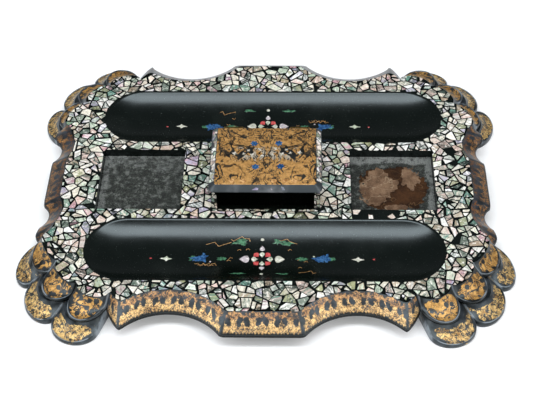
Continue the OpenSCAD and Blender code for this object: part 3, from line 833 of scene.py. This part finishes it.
def shards(name, cells, place, body, proud=0.14, sunk=0.25, tints=None, **options):
    """One object of shell pieces. place(x, y, height) gives a point's place; each top has a small bevel."""
    verts, faces, tint, tint_two, grain = [], [], [], [], []
    for index, poly in enumerate(cells):
        n = len(poly)
        cx, cy = middle(poly)
        turn = rng.uniform(0, math.pi)
        cos, sin = math.cos(turn), math.sin(turn)
        seed = rng.uniform(0, 400)
        tone = tints[index % len(tints)] if tints else random_tint()
        other = tone if tints else random_tint()
        tilt = (rng.uniform(-0.02, 0.02), rng.uniform(-0.02, 0.02))
        tint += [tone] * 3 * n
        tint_two += [other] * 3 * n
        start = len(verts)
        for shrink, height in ((1.0, -sunk), (1.0, proud * 0.45), (0.94, proud)):
            for x, y in poly:
                x, y = lerp(cx, x, shrink), lerp(cy, y, shrink)
                lift = (x - cx) * tilt[0] + (y - cy) * tilt[1] if height > 0 else 0.0
                verts.append(place(x, y, height + lift))
                dx, dy = x - cx, y - cy
                along, across = dx * cos + dy * sin, dy * cos - dx * sin
                grain.append((along + seed, across, seed))
        faces += chip_sides(start, n) + [tuple(range(start + 2 * n, start + 3 * n))]
    attributes = {"tint": tint, "tint_two": tint_two, "grain": grain}
    new_object(name, verts, faces, NACRE, body, attributes=attributes, sharp=20, **options)


# ---- Tray ----
def stadium(side, radius, n=40):
    left, right = TROUGH_ENDS[side]
    return arc(right, TROUGH_Y[side], radius, -90, 90, n) + arc(left, TROUGH_Y[side], radius, 90, 270, n)


def well_square(sign):
    half = WELL / 2
    return rectangle(sign * WELL_X - half, sign * WELL_X + half, FITTINGS_Y - half, FITTINGS_Y + half)


DECK_LOOP = outline(0.0, DECK_FAN, 0.0)
BOARD_LOOP = outline(1.0, UPPER_FAN, 1.4)
BOX_HOLE = rectangle(BOX_LO[0] + WALL, BOX_HI[0] - WALL, BOX_LO[1] + WALL, BOX_HI[1] - WALL)


def make_deck():
    loops = [DECK_LOOP] + [stadium(side, TROUGH_RADIUS) for side in TROUGH_Y]
    loops += [well_square(-1), well_square(1), BOX_HOLE]
    plate("deck_panel", loops, PANEL_BOTTOM, DECK - FACE_GAP, LACQUER, "tray",
          replaces=("tray_deck",), slot="black_lacquer", sharp=20)


def deck_field():
    """Distance in from the deck's nearest edge, negative past it or in an opening, from a 1 mm grid."""
    half_x, half_y = 176, 146
    x, y = np.meshgrid(np.arange(-half_x, half_x + 1.0), np.arange(-half_y, half_y + 1.0))
    nearest = np.full(x.shape, 1e9)
    within = np.zeros(x.shape, dtype=bool)
    for (x0, y0), (x1, y1) in pairs(DECK_LOOP):
        dx, dy = x1 - x0, y1 - y0
        t = np.clip(((x - x0) * dx + (y - y0) * dy) / max(dx * dx + dy * dy, 1e-9), 0, 1)
        nearest = np.minimum(nearest, np.hypot(x - x0 - t * dx, y - y0 - t * dy))
        if y0 != y1:
            within ^= ((y0 > y) != (y1 > y)) & (x < dx * (y - y0) / dy + x0)
    value = np.where(within, nearest, -nearest)

    def square(cx, cy, hx, hy):
        dx, dy = abs(x - cx) - hx, abs(y - cy) - hy
        return np.hypot(np.maximum(dx, 0), np.maximum(dy, 0)) + np.minimum(np.maximum(dx, dy), 0)

    for side, (left, right) in TROUGH_ENDS.items():
        gap = np.maximum(np.maximum(x - right, left - x), 0)
        value = np.minimum(value, np.hypot(gap, y - TROUGH_Y[side]) - TROUGH_RADIUS)
    for s in (-1, 1):
        value = np.minimum(value, square(s * WELL_X, FITTINGS_Y, WELL / 2, WELL / 2))
    box_half = (BOX_HI[1] - BOX_LO[1]) / 2 + 1.6
    value = np.minimum(value, square(0, FITTINGS_Y - 0.6, BOX_HI[0], box_half)).tolist()

    def field(px, py):
        u = min(max(px + half_x, 0.0), 2 * half_x - 0.001)
        v = min(max(py + half_y, 0.0), 2 * half_y - 0.001)
        i, j = int(u), int(v)
        low = lerp(value[j][i], value[j][i + 1], u - i)
        return lerp(low, lerp(value[j + 1][i], value[j + 1][i + 1], u - i), v - j)

    return field


def make_mosaic():
    reach_x, reach_y = CAD_BOX[1][0] / MM, CAD_BOX[1][1] / MM
    cells = shard_cells(-reach_x, reach_x, -reach_y, reach_y, 10.5, deck_field(), 0.2, 38.0,
                        gaps=(0.24, 0.75), lost=0.01)
    patch_x, patch_y = WELL_X - 13, FITTINGS_Y - WELL / 2 - 4
    wide, deep = BARE_PATCH_HALF
    cells = [c for c in cells if abs(c[0][0] - patch_x) > wide or abs(c[0][1] - patch_y) > deep]
    shards("shell_mosaic_pieces", cells, lambda x, y, h: (x, y, DECK + h), "tray", replaces=("shell_mosaic",),
           slot="pearl_shell")


def rim_profile():
    """(share of the way out, height) round a rim's section, from its inner foot."""
    points = [(0.0, BOARD_TOP), (0.985, BOARD_TOP), (1.0, BOARD_TOP + 0.25), (0.995, BOARD_TOP + 0.7)]
    for i in range(RIM_STEPS + 1):
        up = i / RIM_STEPS
        points.append((RIM_SLOPE_END * (1 - up), lerp(BOARD_TOP + RIM_EDGE, DECK, up ** 0.94)))
    return points


def make_rims():
    runs = {"back": (lambda out: long_run(out, RIM_BACK), 1, 1),
            "front": (lambda out: long_run(out, RIM_FRONT), 1, -1),
            "right": (side_run, 1, 1), "left": (side_run, -1, 1)}
    for side, (run, sx, sy) in runs.items():
        inner, outer = run(0.0), run(1.0)
        ring, strip = [], []
        centre_line = [mix2(p, q, 0.5) for p, q in zip(inner, outer)]
        lengths = [0.0]
        for p, q in zip(centre_line, centre_line[1:]):
            lengths.append(lengths[-1] + math.dist(p, q))
        half = lengths[-1] / 2
        creases = crease_marks(side)
        for a, b, (x, y), along in zip(inner, outer, centre_line, lengths):
            gap = min(math.hypot(abs(x) - mx, abs(y) - my) for mx, my in creases)
            section = []
            for share, height in rim_profile():
                x, y = mix2(a, b, share)
                section.append((sx * x, sy * y, height))
                strip.append((along - half, share, min(3.0, gap)))
            ring.append(section)
        new_object("rim_" + side + "_moulding", *loft(ring), RIMS[side], "tray", replaces=("rim_" + side,),
                   slot="gilt_rim", attributes={"strip": strip}, sharp=50)


def crease_marks(side):
    """The middles of a rim's creases in one quarter: the start of its scallop, its cusp and its end."""
    if side in ("front", "back"):
        width = RIM_FRONT if side == "front" else RIM_BACK
        inner, outer, first = long_half(0.0, width), long_half(1.0, width), 3
    else:
        inner, outer, first = side_half(0.0), side_half(1.0), 2
    return [mix2(inner[i], outer[i], 0.5) for i in (first, -3, -1)]


def paint(material, *nodes):
    """Give CAD nodes that are shown as they are their material."""
    for node in nodes:
        NODES[node].data.materials[0] = material


def make_base():
    under = BED_RADIUS + TROUGH_WALL
    belly = math.sqrt(under**2 - (under + DECK - TROUGH_DEPTH - TROUGH_WALL - BOARD_TOP) ** 2) + 0.5
    loops = [BOARD_LOOP] + [stadium(side, belly) for side in TROUGH_Y]
    plate("base_board_panel", loops, BOARD, BOARD_TOP, EDGE_LACQUER, "tray", replaces=("base_board",),
          slot="black_lacquer")
    paint(BAIZE, "base_baize")


def dished(inner, outer, hollow, depth, gain, width):
    """A lobe's top from its lip in to its wall. hollow is 1 along the middle; width is the rolled edge's."""
    points = []
    for i in range(SECTION_STEPS + 1):
        t = 1 - i / SECTION_STEPS
        roll = 0.5 * math.exp(-(((1 - t) / width) ** 2)) * hollow
        scoop = (depth + gain * hollow) * math.sin(math.pi * t) ** 0.8 if 0 < t < 1 else 0.0
        edge = -0.3 * max(0.0, (t - 0.96) / 0.04) ** 2
        radius, height = mix2(inner, outer, t)
        points.append((radius, height - scoop + roll + edge, t))
    return points


def flute(s):
    """1 at a lobe's ridges and 0 along its middle."""
    return abs(2 * s - 1) ** 2.3


def upper_section(k, s):
    """(radius, height, share of the way out) round an upper lobe's section, from its inner foot."""
    r1 = lobe_radius(UPPER_FAN, k, s)
    r0 = min(lobe_radius(DECK_FAN, k, s), r1 - 1.5)
    f = flute(s)
    lip = LIP_UPPER + RIDGE * f
    points = [(r0, SHELF, 0.0), (r1 - 0.8, SHELF, 1.0), (r1 - 0.2, SHELF + 0.3, 1.0), (r1, SHELF + 0.7, 1.0),
              (r1 - 0.1, lip - 0.4, 1.0)]
    return points + dished((r0, DECK), (r1 - 0.35, lip), 1 - f, 0.95, 1.35, 0.09)


def lower_section(k, s):
    """The same for a lower lobe, from the wall under the board. Its underside is a foot of the tray."""
    r1 = lobe_radius(LOWER_FAN, k, s) - FACET_SAG
    f = flute(s)
    r2 = max(FAN_WALL + 1, r1 - 12.5 - 4.5 * f)
    lip = LIP_LOWER + RIDGE * f
    start = BOARD - 0.05
    points = [(FAN_WALL, 0.0, 0.0), (r1 - 1.0, 0.0, 1.0), (r1 - 0.25, 0.3, 1.0), (r1, 0.9, 1.0),
              (r1 - 0.1, lip - 0.45, 1.0)]
    points += dished((r2, start), (r1 - 0.4, lip), 1 - f, 0.3, 1.1, 0.08)
    return points + [(FAN_WALL, start, 0.0)]


def make_fans():
    corners = {"back_right": (1, 1), "back_left": (-1, 1), "front_right": (1, -1), "front_left": (-1, -1)}
    tiers = (("upper", upper_section, FAN_UPPER, FAN_EDGES), ("lower", lower_section, FAN_LOWER, FOOT_EDGES))
    for tier, section, material, edges in tiers:
        for corner, (sx, sy) in corners.items():
            rings, lobe = [], []
            for k, s, angle in lobe_samples(LOBE_STEPS, edges):
                ring = []
                for r, z, t in section(k, s):
                    x, y = fan_point(angle, r)
                    ring.append((sx * x, sy * y, z))
                    lobe.append((s, t, k * 10.0 + sx * 3 + sy))
                rings.append(ring)
            node = "fan_" + tier + "_" + corner
            new_object(node + "_shell", *loft(rings), material, "tray", replaces=(node,), slot="gilt_fan",
                       attributes={"lobe": lobe}, sharp=42)


# ---- Pen troughs ----
def trough_reach(side, x, y):
    """Distance from the line between a trough's two end centres."""
    left, right = TROUGH_ENDS[side]
    return math.hypot(max(x - right, left - x, 0), y - TROUGH_Y[side])


def bed_height(reach):
    reach = min(reach, BED_HALF)
    return DECK + BED_RADIUS - TROUGH_DEPTH - math.sqrt(BED_RADIUS**2 - reach**2)


def make_trough(side):
    """A round-ended concave bed with a flat lip, made of nested rings, and its underside."""
    bed = [BED_HALF * (i / BED_RINGS) ** 0.9 for i in range(BED_RINGS + 1)]
    under = [BED_HALF * i / BELLY_RINGS for i in range(BELLY_RINGS, -1, -1)]
    rim = TROUGH_RADIUS - 0.05
    levels = [(q, bed_height(q)) for q in bed]
    levels += [(BED_HALF + 0.15, DECK), (rim, DECK), (rim, DECK - TROUGH_WALL)]
    levels += [(q, bed_height(q) - TROUGH_WALL) for q in under]
    rings = [[(x, y, z) for x, y in stadium(side, max(q, 0.001), TROUGH_STEPS)] for q, z in levels]
    node = "pen_trough_" + side
    new_object(node + "_bed", *skin(rings), LACQUER, "tray", replaces=(node,), slot="black_lacquer", sharp=40)
    make_trough_inlays(side)


def petal(length, width, n=14, tip=1.0):
    """A pointed leaf from the origin along +X."""
    top = [(length * i / n, width / 2 * math.sin(math.pi * (i / n) ** tip)) for i in range(n + 1)]
    return top + [(x, -y) for x, y in top[-2:0:-1]]


def disc(rx, ry, n=20):
    return [(rx * math.cos(2 * math.pi * i / n), ry * math.sin(2 * math.pi * i / n)) for i in range(n)]


def placed(points, x, y, angle=0.0, scale=1.0):
    c, s = math.cos(math.radians(angle)), math.sin(math.radians(angle))
    return [(x + scale * (px * c - py * s), y + scale * (px * s + py * c)) for px, py in points]


def inlay(name, shapes, place, material, body, proud, sunk=0.3):
    """Thin pieces let into a surface: place(x, y, height) gives a point's place."""
    verts, faces = [], []
    for shape in shapes:
        n = len(shape)
        cx, cy = middle(shape)
        start = len(verts)
        for shrink, height in ((1.0, -sunk), (1.0, proud * 0.3), (0.9, proud)):
            verts += [place(lerp(cx, x, shrink), lerp(cy, y, shrink), height) for x, y in shape]
        verts.append(place(cx, cy, proud))
        top = start + 2 * n
        faces += chip_sides(start, n) + [(top + i, top + (i + 1) % n, top + n) for i in range(n)]
    new_object(name, verts, faces, material, body, sharp=25)


def blot(x, y, rx, ry, seed):
    """A small ragged patch with pointed arms."""
    return torn_blob(x, y, rx, ry, seed, rough=0.9, n=40)


def strokes(points, width):
    """Thin quads along a zigzag."""
    out = []
    for (x0, y0), (x1, y1) in zip(points, points[1:]):
        size = math.hypot(x1 - x0, y1 - y0)
        nx, ny = (y0 - y1) / size * width / 2, (x1 - x0) / size * width / 2
        out.append([(x0 + nx, y0 + ny), (x0 - nx, y0 - ny), (x1 - nx, y1 - ny), (x1 + nx, y1 + ny)])
    return out


def trough_motif(side):
    """Shapes by colour, about the trough's middle: a rosette, then flowers, blots and gold strokes."""
    star = [(4.4, 0), (1.3, 0.9), (0.2, 2.6), (-1.4, 1.0), (-4.6, 0.3), (-1.3, -0.9), (0, -2.4), (1.5, -0.9)]
    pearl, blue, green, gold = [], [], [], []

    def ray(length, width, tip, reach, angle):
        a = math.radians(angle)
        return placed(petal(length, width, tip=tip), reach * math.cos(a), reach * math.sin(a), angle)

    for angle in (0, 180):
        pearl += [ray(7.0, 6.6, 0.6, 8.7, angle), ray(4.8, 4.6, 1.5, 2.7, angle)]
    for angle, up in ((90, 1), (270, -1)):
        pearl += [ray(4.9, 3.6, 1.5, 1.5, angle), ray(4.0, 3.6, 0.6, 7.4, angle),
                  placed(disc(1.2, 1.0), 0, up * 16.2)]
    red = [ray(4.6, 4.3, 1.5, 3.0, angle) for angle in (45, 135, 225, 315)]
    for s in (-1, 1):
        pearl += [placed(star, s * 65.8, 0), placed(disc(0.7, 0.6, 10), s * 35.5, s * 2.6)]
        red.append(placed(disc(0.8, 0.6, 12), s * 76.5, 0.4))
        blue += [blot(s * 42 - 2.4, 0.2, 4.2, 2.2, 3 + s), blot(s * 42 + 1.6, 0.9, 2.8, 3.4, 7 + s)]
        green += [blot(s * 48, 0.4, 2.6, 1.6, 11 + s), blot(s * 27.6, 0.2, 3.2, 1.6, 15 + s)]
    green += [blot(-14.5, 14.6, 4.6, 2.4, 21), blot(10.5, 14.4, 3.0, 1.6, 25), blot(16.5, 13.6, 3.8, 1.7, 28),
              blot(-16, -15.5, 3.6, 1.0, 31), blot(15, -15.8, 3.4, 1.2, 36)]
    for width, *line in (
        (0.3, (-39, 12.3), (-33, 14.2), (-30.3, 11), (-21.3, 14.2)),
        (0.3, (-21.6, 16.4), (-20, 15), (-17.5, 16.6), (-14, 18.4), (-12.6, 17), (-9, 16.8), (-8.6, 14.8)),
        (0.28, (9, 15.8), (13, 15.4), (17, 16.8), (19, 14.8), (24, 13.2)),
        (0.28, (25, -14.6), (31, -13.2), (33.5, -11.8), (35, -15.2), (37, -14.2)),
    ):
        gold += strokes(line, width)
    for turn in range(7):
        x, dip, peak = -46 + 1.9 * turn, 1.1 * (turn % 3), 1.5 * (turn % 2)
        gold += strokes([(x, -5.0 - dip), (x + 2.4, -4.2 - peak), (x + 3.6, -6.6)], 0.28)
    for x, y in ((-23, -1.4), (-21.5, 0.9), (30, -2.2), (25.5, -0.6), (-16, 8), (-10, 8.6), (26, -8.4),
                 (19, 8.2)):
        gold += strokes([(x - 1.2, y - 0.4), (x + 0.2, y + 0.7), (x + 1.4, y - 0.3)], 0.28)
    flip = 1 if side == "front" else -1
    return [[[(flip * x, y) for x, y in shape] for shape in group]
            for group in (pearl, red, blue, green, gold)]


def make_trough_inlays(side):
    pearl, red, blue, green, gold = trough_motif(side)
    turn = 1 if side == "front" else -1
    shift_x, shift_y = (-1.7, -2.0) if side == "front" else (-0.6, -2.3)

    def place(x, y, height):
        x, y = x + shift_x, TROUGH_Y[side] + turn * y + shift_y
        return (x, y, bed_height(trough_reach(side, x, y)) + height)

    shards("trough_pearl_" + side, pearl, place, "tray", proud=0.1, sunk=0.3,
           replaces=("trough_inlay_" + side,), slot="pearl_shell",
           tints=tones((200, 200, 186), (190, 198, 178), (196, 186, 192)))
    for name, shapes, material, proud in (("red", red, RED, 0.06), ("blue", blue, BLUE, 0.06),
                                          ("green", green, GREEN, 0.035), ("gold", gold, OCHRE, 0.035)):
        inlay("trough_" + name + "_" + side, shapes, place, material, "tray", proud)


# ---- Ink wells ----
def noise_at(x, y, z):
    return mnoise.noise(Vector((x, y, z)))


def felt_grid(cx, keep, name, node, step=0.75, band=None):
    """A felt pad on a well's floor: a closed, slightly uneven sheet, left out where keep is false."""
    half = WELL / 2 - FELT_MARGIN
    n = int(2 * half / step)
    z0, z1 = FELT_LO[2] + FACE_GAP, FELT_HI[2] - FELT_MARGIN
    index, verts, worn = {}, [], []

    def corner(i, j, level):
        key = (i, j, level)
        if key not in index:
            x, y = -half + 2 * half * i / n, -half + 2 * half * j / n
            between = min(i, n - i) > 0 and min(j, n - j) > 0
            wave = noise_at(x * 0.16 + cx, y * 0.16, 3.0) * 0.16
            fuzz = noise_at(x * 0.9 + cx, y * 0.9, 9.0) * 0.14
            shift = 0.35 if between else 0.0
            dx, dy = noise_at(x, y, 20.0) * shift, noise_at(x, y, 30.0) * shift
            index[key] = len(verts)
            verts.append((cx + x + dx, FITTINGS_Y + y + dy, z1 + wave + fuzz if level else z0))
            worn.append((band(x, y) if band else 0.0, 0.0, 0.0))
        return index[key]

    held = {(i, j) for i in range(n) for j in range(n)
            if keep(-half + 2 * half * (i + 0.5) / n, -half + 2 * half * (j + 0.5) / n)}
    faces = []
    for i, j in held:
        quad = [(i, j), (i + 1, j), (i + 1, j + 1), (i, j + 1)]
        faces.append([corner(*q, 1) for q in quad])
        faces.append([corner(*q, 0) for q in quad[::-1]])
        for (a, b), (di, dj) in zip(zip(quad, quad[1:] + quad[:1]), ((0, -1), (1, 0), (0, 1), (-1, 0))):
            if (i + di, j + dj) not in held:
                faces.append([corner(*a, 0), corner(*b, 0), corner(*b, 1), corner(*a, 1)])
    obj = new_object(name, verts, faces, FELT, "tray", replaces=(node,), slot="felt",
                     attributes={"worn": worn}, sharp=60)
    return obj


def ragged(v, *waves):
    """1 with noise added: each wave is its scale and strength."""
    return 1 + sum(strength * mnoise.noise(v * scale) for scale, strength in waves)


def torn_blob(cx, cy, rx, ry, seed, rough=0.2, n=72):
    """An irregular torn outline about a middle."""
    points = []
    for i in range(n):
        a = 2 * math.pi * i / n
        v = Vector((math.cos(a) * 1.4 + seed, math.sin(a) * 1.4, seed))
        r = ragged(v, (1, rough), (4, rough * 0.5), (11, rough * 0.25))
        points.append((cx + rx * r * math.cos(a), cy + ry * r * math.sin(a)))
    return points


def scrap(name, loop, z, thick, lift, material, slot, replaces):
    """A torn scrap of paper: a thin closed sheet, domed by lift, with an uneven top."""
    cx, cy = middle(loop)
    rings = 7
    verts, faces = [], []
    n = len(loop)
    for level in (0, 1):
        for k in range(rings + 1):
            share = k / rings
            for x, y in loop:
                px, py = lerp(cx, x, share), lerp(cy, y, share)
                bump = noise_at(px * 0.25, py * 0.25, z) * 0.1
                verts.append((px, py, z + level * (thick + bump) + lift * share**3))
    row = (rings + 1) * n
    for a in range(0, rings * n, n):
        faces += quads(a + n, a, n) + quads(row + a, row + a + n, n)
    faces += quads(row + rings * n, rings * n, n)
    obj = new_object(name, verts, faces, material, "tray", replaces, slot, sharp=50)
    return obj


def make_wells():
    paint(LACQUER, "ink_well_left", "ink_well_right")
    felt_grid(-WELL_X, lambda x, y: True, "felt_pad_left", "well_felt_left",
              band=lambda x, y: 1.2 - 1.2 * smooth(2.0, 6.5, x + WELL / 2) + 0.35 * smooth(0, WELL / 2, y))

    def whole_felt(x, y):
        v = Vector((x * 0.07, y * 0.07, 4.0))
        edge = ragged(v, (1, 0.26), (4, 0.16), (12, 0.1))
        reach = (abs((x + 0.5) / 23.5) ** 3.0 + abs((y + 2.0) / 21.5) ** 3.0) ** (1 / 3.0)
        return reach > edge and not (abs(x - 2) < 9 * edge and y < -15)

    def dark_ring(x, y):
        reach = math.hypot(x / 25.0, (y + 1.5) / 23.0)
        return 1.1 * smooth(1.2, 1.0, reach)

    def pale_edge(x, y):
        return max(smooth(WELL / 2 - 7.5, WELL / 2 - 3.0, x),
                   smooth(WELL / 2 - 11, WELL / 2 - 5, y)) * 1.2 - 0.15

    def band(x, y):
        return pale_edge(x, y) - dark_ring(x, y)

    felt_grid(WELL_X, whole_felt, "felt_frame_right", "well_felt_right", band=band)
    board, paper = (BROWN_BOARD, "bare_board"), (TAN_PAPER, "bare_paper")
    for name, (x, y, *shape), z, thick, lift, look, *replaces in (
        ("bare_board", (1, -1.5, 28, 27, 2.0, 0.03), 0.0, 0.12, 0.0, board, "well_board_right"),
        ("torn_paper", (-10.5, -2.0, 12.5, 17.0, 5.3, 0.34, 110), 0.18, 0.22, 0.3, paper, "well_paper_right"),
        ("torn_paper_back", (13, 9.5, 6.0, 11.5, 8.1, 0.6, 90), 0.18, 0.2, 0.25, paper),
        ("torn_paper_front", (2, -23.5, 8.5, 5.4, 3.3, 0.3), 0.18, 0.2, 0.15, paper),
    ):
        loop = torn_blob(WELL_X + x, FITTINGS_Y + y, *shape)
        scrap(name + "_right", loop, FELT_LO[2] + z, thick, lift, *look, replaces)


# ---- Centre box ----
def strip_field(x0, x1, y0, y1):
    """Distance in from the nearest side of a rectangle."""
    return lambda x, y: min(x - x0, x1 - x, y - y0, y1 - y)


def make_box():
    paint(LACQUER, "box_wall_left", "box_wall_right", "box_wall_back", "box_floor", "box_shell_edges",
          "box_sill")
    front = BOX_LO[1]
    cells = []
    for s in (-1, 1):
        x0, x1 = sorted((s * BOX_HI[0], s * (BOX_HI[0] - WALL)))
        field = strip_field(x0, x1, DECK - 0.3, BOX_TOP)
        cells += shard_cells(x0, x1, DECK, BOX_TOP - 0.2, 5.2, field, 0.12, 11.0)
    shards("box_edge_pieces", cells, lambda x, y, h: (x, front - h * 0.9, y), "tray", proud=0.12, sunk=0.3,
           slot="pearl_shell")
    sill = (BOX_LO[0], BOX_HI[0], front - 2, front)
    top = box_mm("box_sill")[1][2]
    cells = shard_cells(*sill, 6.5, strip_field(*sill), 0.1, 12.0, gaps=(0.08, 0.25))
    shards("box_sill_pieces", cells, lambda x, y, h: (x, y, top + h), "tray", proud=0.1, sunk=0.2,
           slot="pearl_shell")


# ---- Lid ----
def lid_loop(inset, back_inset, corner):
    """Rounded front corners and small back ones."""
    x1 = LID_HI[0] - inset
    y0, y1 = LID_LO[1] + inset, LID_HI[1] - back_inset
    small = LID_BACK_CORNER
    loop = arc(x1 - corner, y0 + corner, corner, -90, 0, 8) + arc(x1 - small, y1 - small, small, 0, 90, 3)
    left = [(-x, y) for x, y in loop]
    return loop + left[::-1]


def make_lid():
    bottom, top = LID_LO[2], LID_HI[2]
    bevel = GILT_LO[0] - LID_LO[0]
    shoulder = bottom + LID_EDGE
    levels = [(0.25, 0.0, bottom), (0.0, 0.0, bottom + 0.25), (0.0, 0.0, shoulder - 0.2),
              (0.25, 0.0, shoulder)]
    levels += [(lerp(0.25, bevel, t), 0.0 if t < 1 else 1.0, lerp(shoulder, top - 0.3, t ** 0.96))
               for t in (0.33, 0.66, 1.0)]
    rings = []
    for inset, back, z in levels:
        corner = LID_CORNER if inset < 1 else max(1.0, LID_CORNER - inset * 0.7)
        rings.append([(x, y, z) for x, y in lid_loop(inset, back, corner)])
    new_object("lid_body", *loft(rings), LID_LACQUER, "lid", replaces=("lid_panel", "lid_shell_bevel"),
               slot="black_lacquer", sharp=25)
    rings = [[(x, y, z) for x, y in lid_loop(bevel + inset, GILT_BACK_MARGIN + inset, GILT_CORNER)]
             for inset, z in ((0.0, top - 0.32), (0.0, top - 0.2), (0.18, top - 0.1))]
    new_object("lid_gilt_panel", *loft(rings), LID_GILT, "lid", replaces=("lid_gilt_top",), slot="gilt_lid",
               sharp=25)
    make_lid_shell(shoulder, top - 0.3, bevel)
    make_lid_flowers(top - 0.1)
    paint(LINING, "lid_lining")


def make_lid_shell(low, high, bevel):
    """Shell pieces on the lid's sloping sides, and a few small ones on its front slope."""
    width = LID_HI[0]
    run = math.hypot(bevel, high - low)
    slope_x, slope_z = bevel / run, (high - low) / run
    long_span = (LID_LO[1] + 8, LID_HI[1] - 2, 0.5, run - 0.4)
    slopes = {
        "left": (lambda u, out, up: (-width + out, u, up), long_span, 0.05, None),
        "right": (lambda u, out, up: (width - out, u, up), long_span, 0.05, None),
        "front": (lambda u, out, up: (u, LID_LO[1] + out, up), (-26.0, 16.0, 1.2, run - 1.4), 0.8,
                  tones((150, 142, 170), (160, 154, 158), (120, 126, 140))),
    }
    for name, (point, span, lost, tints) in slopes.items():
        def place(u, v, h):
            return point(u, v * slope_x - h * slope_z, low + v * slope_z + h * slope_x)

        cells = shard_cells(*span, 6.4, strip_field(*span), 0.1, 14.0, (0.08, 0.3), lost)
        shards("lid_shell_" + name, cells, place, "lid", proud=0.06, sunk=0.2, tints=tints,
               slot="pearl_shell")


def make_lid_flowers(z):
    """Four blue flowers, a pearl band between them and small gold rings along the front."""
    cy = (GILT_LO[1] + GILT_HI[1]) / 2

    def place(x, y, h):
        return (x, y, z + h)

    blue, white = [], []
    for i, (x, y) in enumerate(((-8.6, 12.5), (8.8, 12.9), (-7.2, -11.2), (10.4, -10.6))):
        blue += [placed(petal(2.9, 2.1, 8), x, cy + y, a + 17 * i) for a in range(0, 360, 60)]
    for s in (-1, 1):
        for x, y, size in ((5.5, 6.9, 1.0), (13.5, 5.6, 0.8), (3.6, 0.4, 0.8), (10.5, 1.2, 1.2),
                           (16.5, 2.4, 0.8), (23, 2.8, 1.1)):
            white += [placed(petal(1.8, 1.2, 8), s * x + 0.8, cy + y + 0.5 * s, a + 23 * x, size)
                      for a in range(0, 360, 90)]
    gold = [placed(disc(2.3, 2.0, 18), x + 0.6, GILT_LO[1] + 3.4) for x in (5.5, 13.0, 19.5, -16, -24)]
    inlay("lid_blue_flowers", blue, place, BLUE, "lid", proud=0.06, sunk=0.1)
    shards("lid_pearl_flowers", white, place, "lid", proud=0.06, sunk=0.1, slot="pearl_shell",
           tints=tones((186, 182, 166), (150, 144, 130), (206, 200, 190)))
    inlay("lid_gold_discs", gold, place, OCHRE, "lid", proud=0.05, sunk=0.1)


# ---- Stage, light and camera ----
def make_stage():
    mesh = bpy.data.meshes.new("floor")
    half = 2.5
    mesh.from_pydata([(x, y, 0) for x, y in rectangle(-half, half, -half, half)], [], [(0, 1, 2, 3)])
    g = Graph("floor_paper")
    grain = g.noise(g.position(), 0.4, 3)
    paper = g.mix(grain, (0.89, 0.89, 0.9, 1.0), (0.91, 0.91, 0.92, 1.0))
    mesh.materials.append(g.set(color=paper, rough=0.9, specular=0.1, glow=(0.97, 0.99, 1.0, 1.0),
                                glow_strength=0.12))
    add("floor", mesh)


def make_light():
    world = bpy.data.worlds.new("studio")
    world.use_nodes = True
    background = world.node_tree.nodes["Background"].inputs
    background["Color"].default_value = (0.9, 0.96, 1.0, 1.0)
    background["Strength"].default_value = 0.13
    bpy.context.scene.world = world
    for name, place, aim, size, power, colour in (
        ("top", (0.0, -0.27, 2.5), (0.0, -0.1, 0.0), (3.6, 0.74), 56.0, (0.95, 0.98, 1.0)),
        ("left", (-2.2, -0.7, 1.8), (0.0, 0.0, 0.0), (1.6, 1.4), 26.0, (0.97, 0.99, 1.0)),
        ("right", (2.2, -0.7, 1.8), (0.0, 0.0, 0.0), (1.6, 1.4), 22.0, (1.0, 0.99, 0.97)),
        ("front", (0.0, -2.7, 1.7), (0.0, 0.2, 0.0), (3.0, 1.4), 34.0, (1.0, 0.99, 0.97)),
    ):
        light = bpy.data.lights.new("softbox_" + name, "AREA")
        light.shape = "RECTANGLE"
        light.size, light.size_y = size
        light.energy = power
        light.color = colour
        lamp = add("softbox_" + name, light)
        lamp.location = place
        lamp.rotation_euler = (Vector(aim) - Vector(place)).to_track_quat("-Z", "Y").to_euler()


def make_camera():
    """At the photograph's angle: the view was fitted to the tray's symmetric features."""
    elevation, yaw, roll = math.radians(46.01), math.radians(-2.13), math.radians(-1.28)
    distance, aim, lens = 0.870, Vector((0.0026, -0.0256, DECK * MM)), 82.33
    forward = Vector((math.sin(yaw) * math.cos(elevation), math.cos(yaw) * math.cos(elevation),
                      -math.sin(elevation)))
    right = Vector((math.cos(yaw), -math.sin(yaw), 0.0))
    up = right.cross(forward)
    side = right * math.cos(roll) + up * math.sin(roll)
    top = up * math.cos(roll) - right * math.sin(roll)
    data = bpy.data.cameras.new("camera")
    data.lens = lens
    data.clip_start = 0.05
    camera = add("camera", data)
    matrix = Matrix((side, top, -forward)).transposed().to_4x4()
    matrix.translation = aim - forward * distance
    camera.matrix_world = matrix
    bpy.context.scene.camera = camera


make_stage()
make_light()
make_camera()
make_base()
make_deck()
make_mosaic()
make_rims()
make_fans()
for trough in ("front", "back"):
    make_trough(trough)
make_wells()
make_box()
make_lid()
paint(BRASS, *[node for node in NODES if node.startswith("hinge")])
bpy.context.scene.view_settings.view_transform = "Standard"
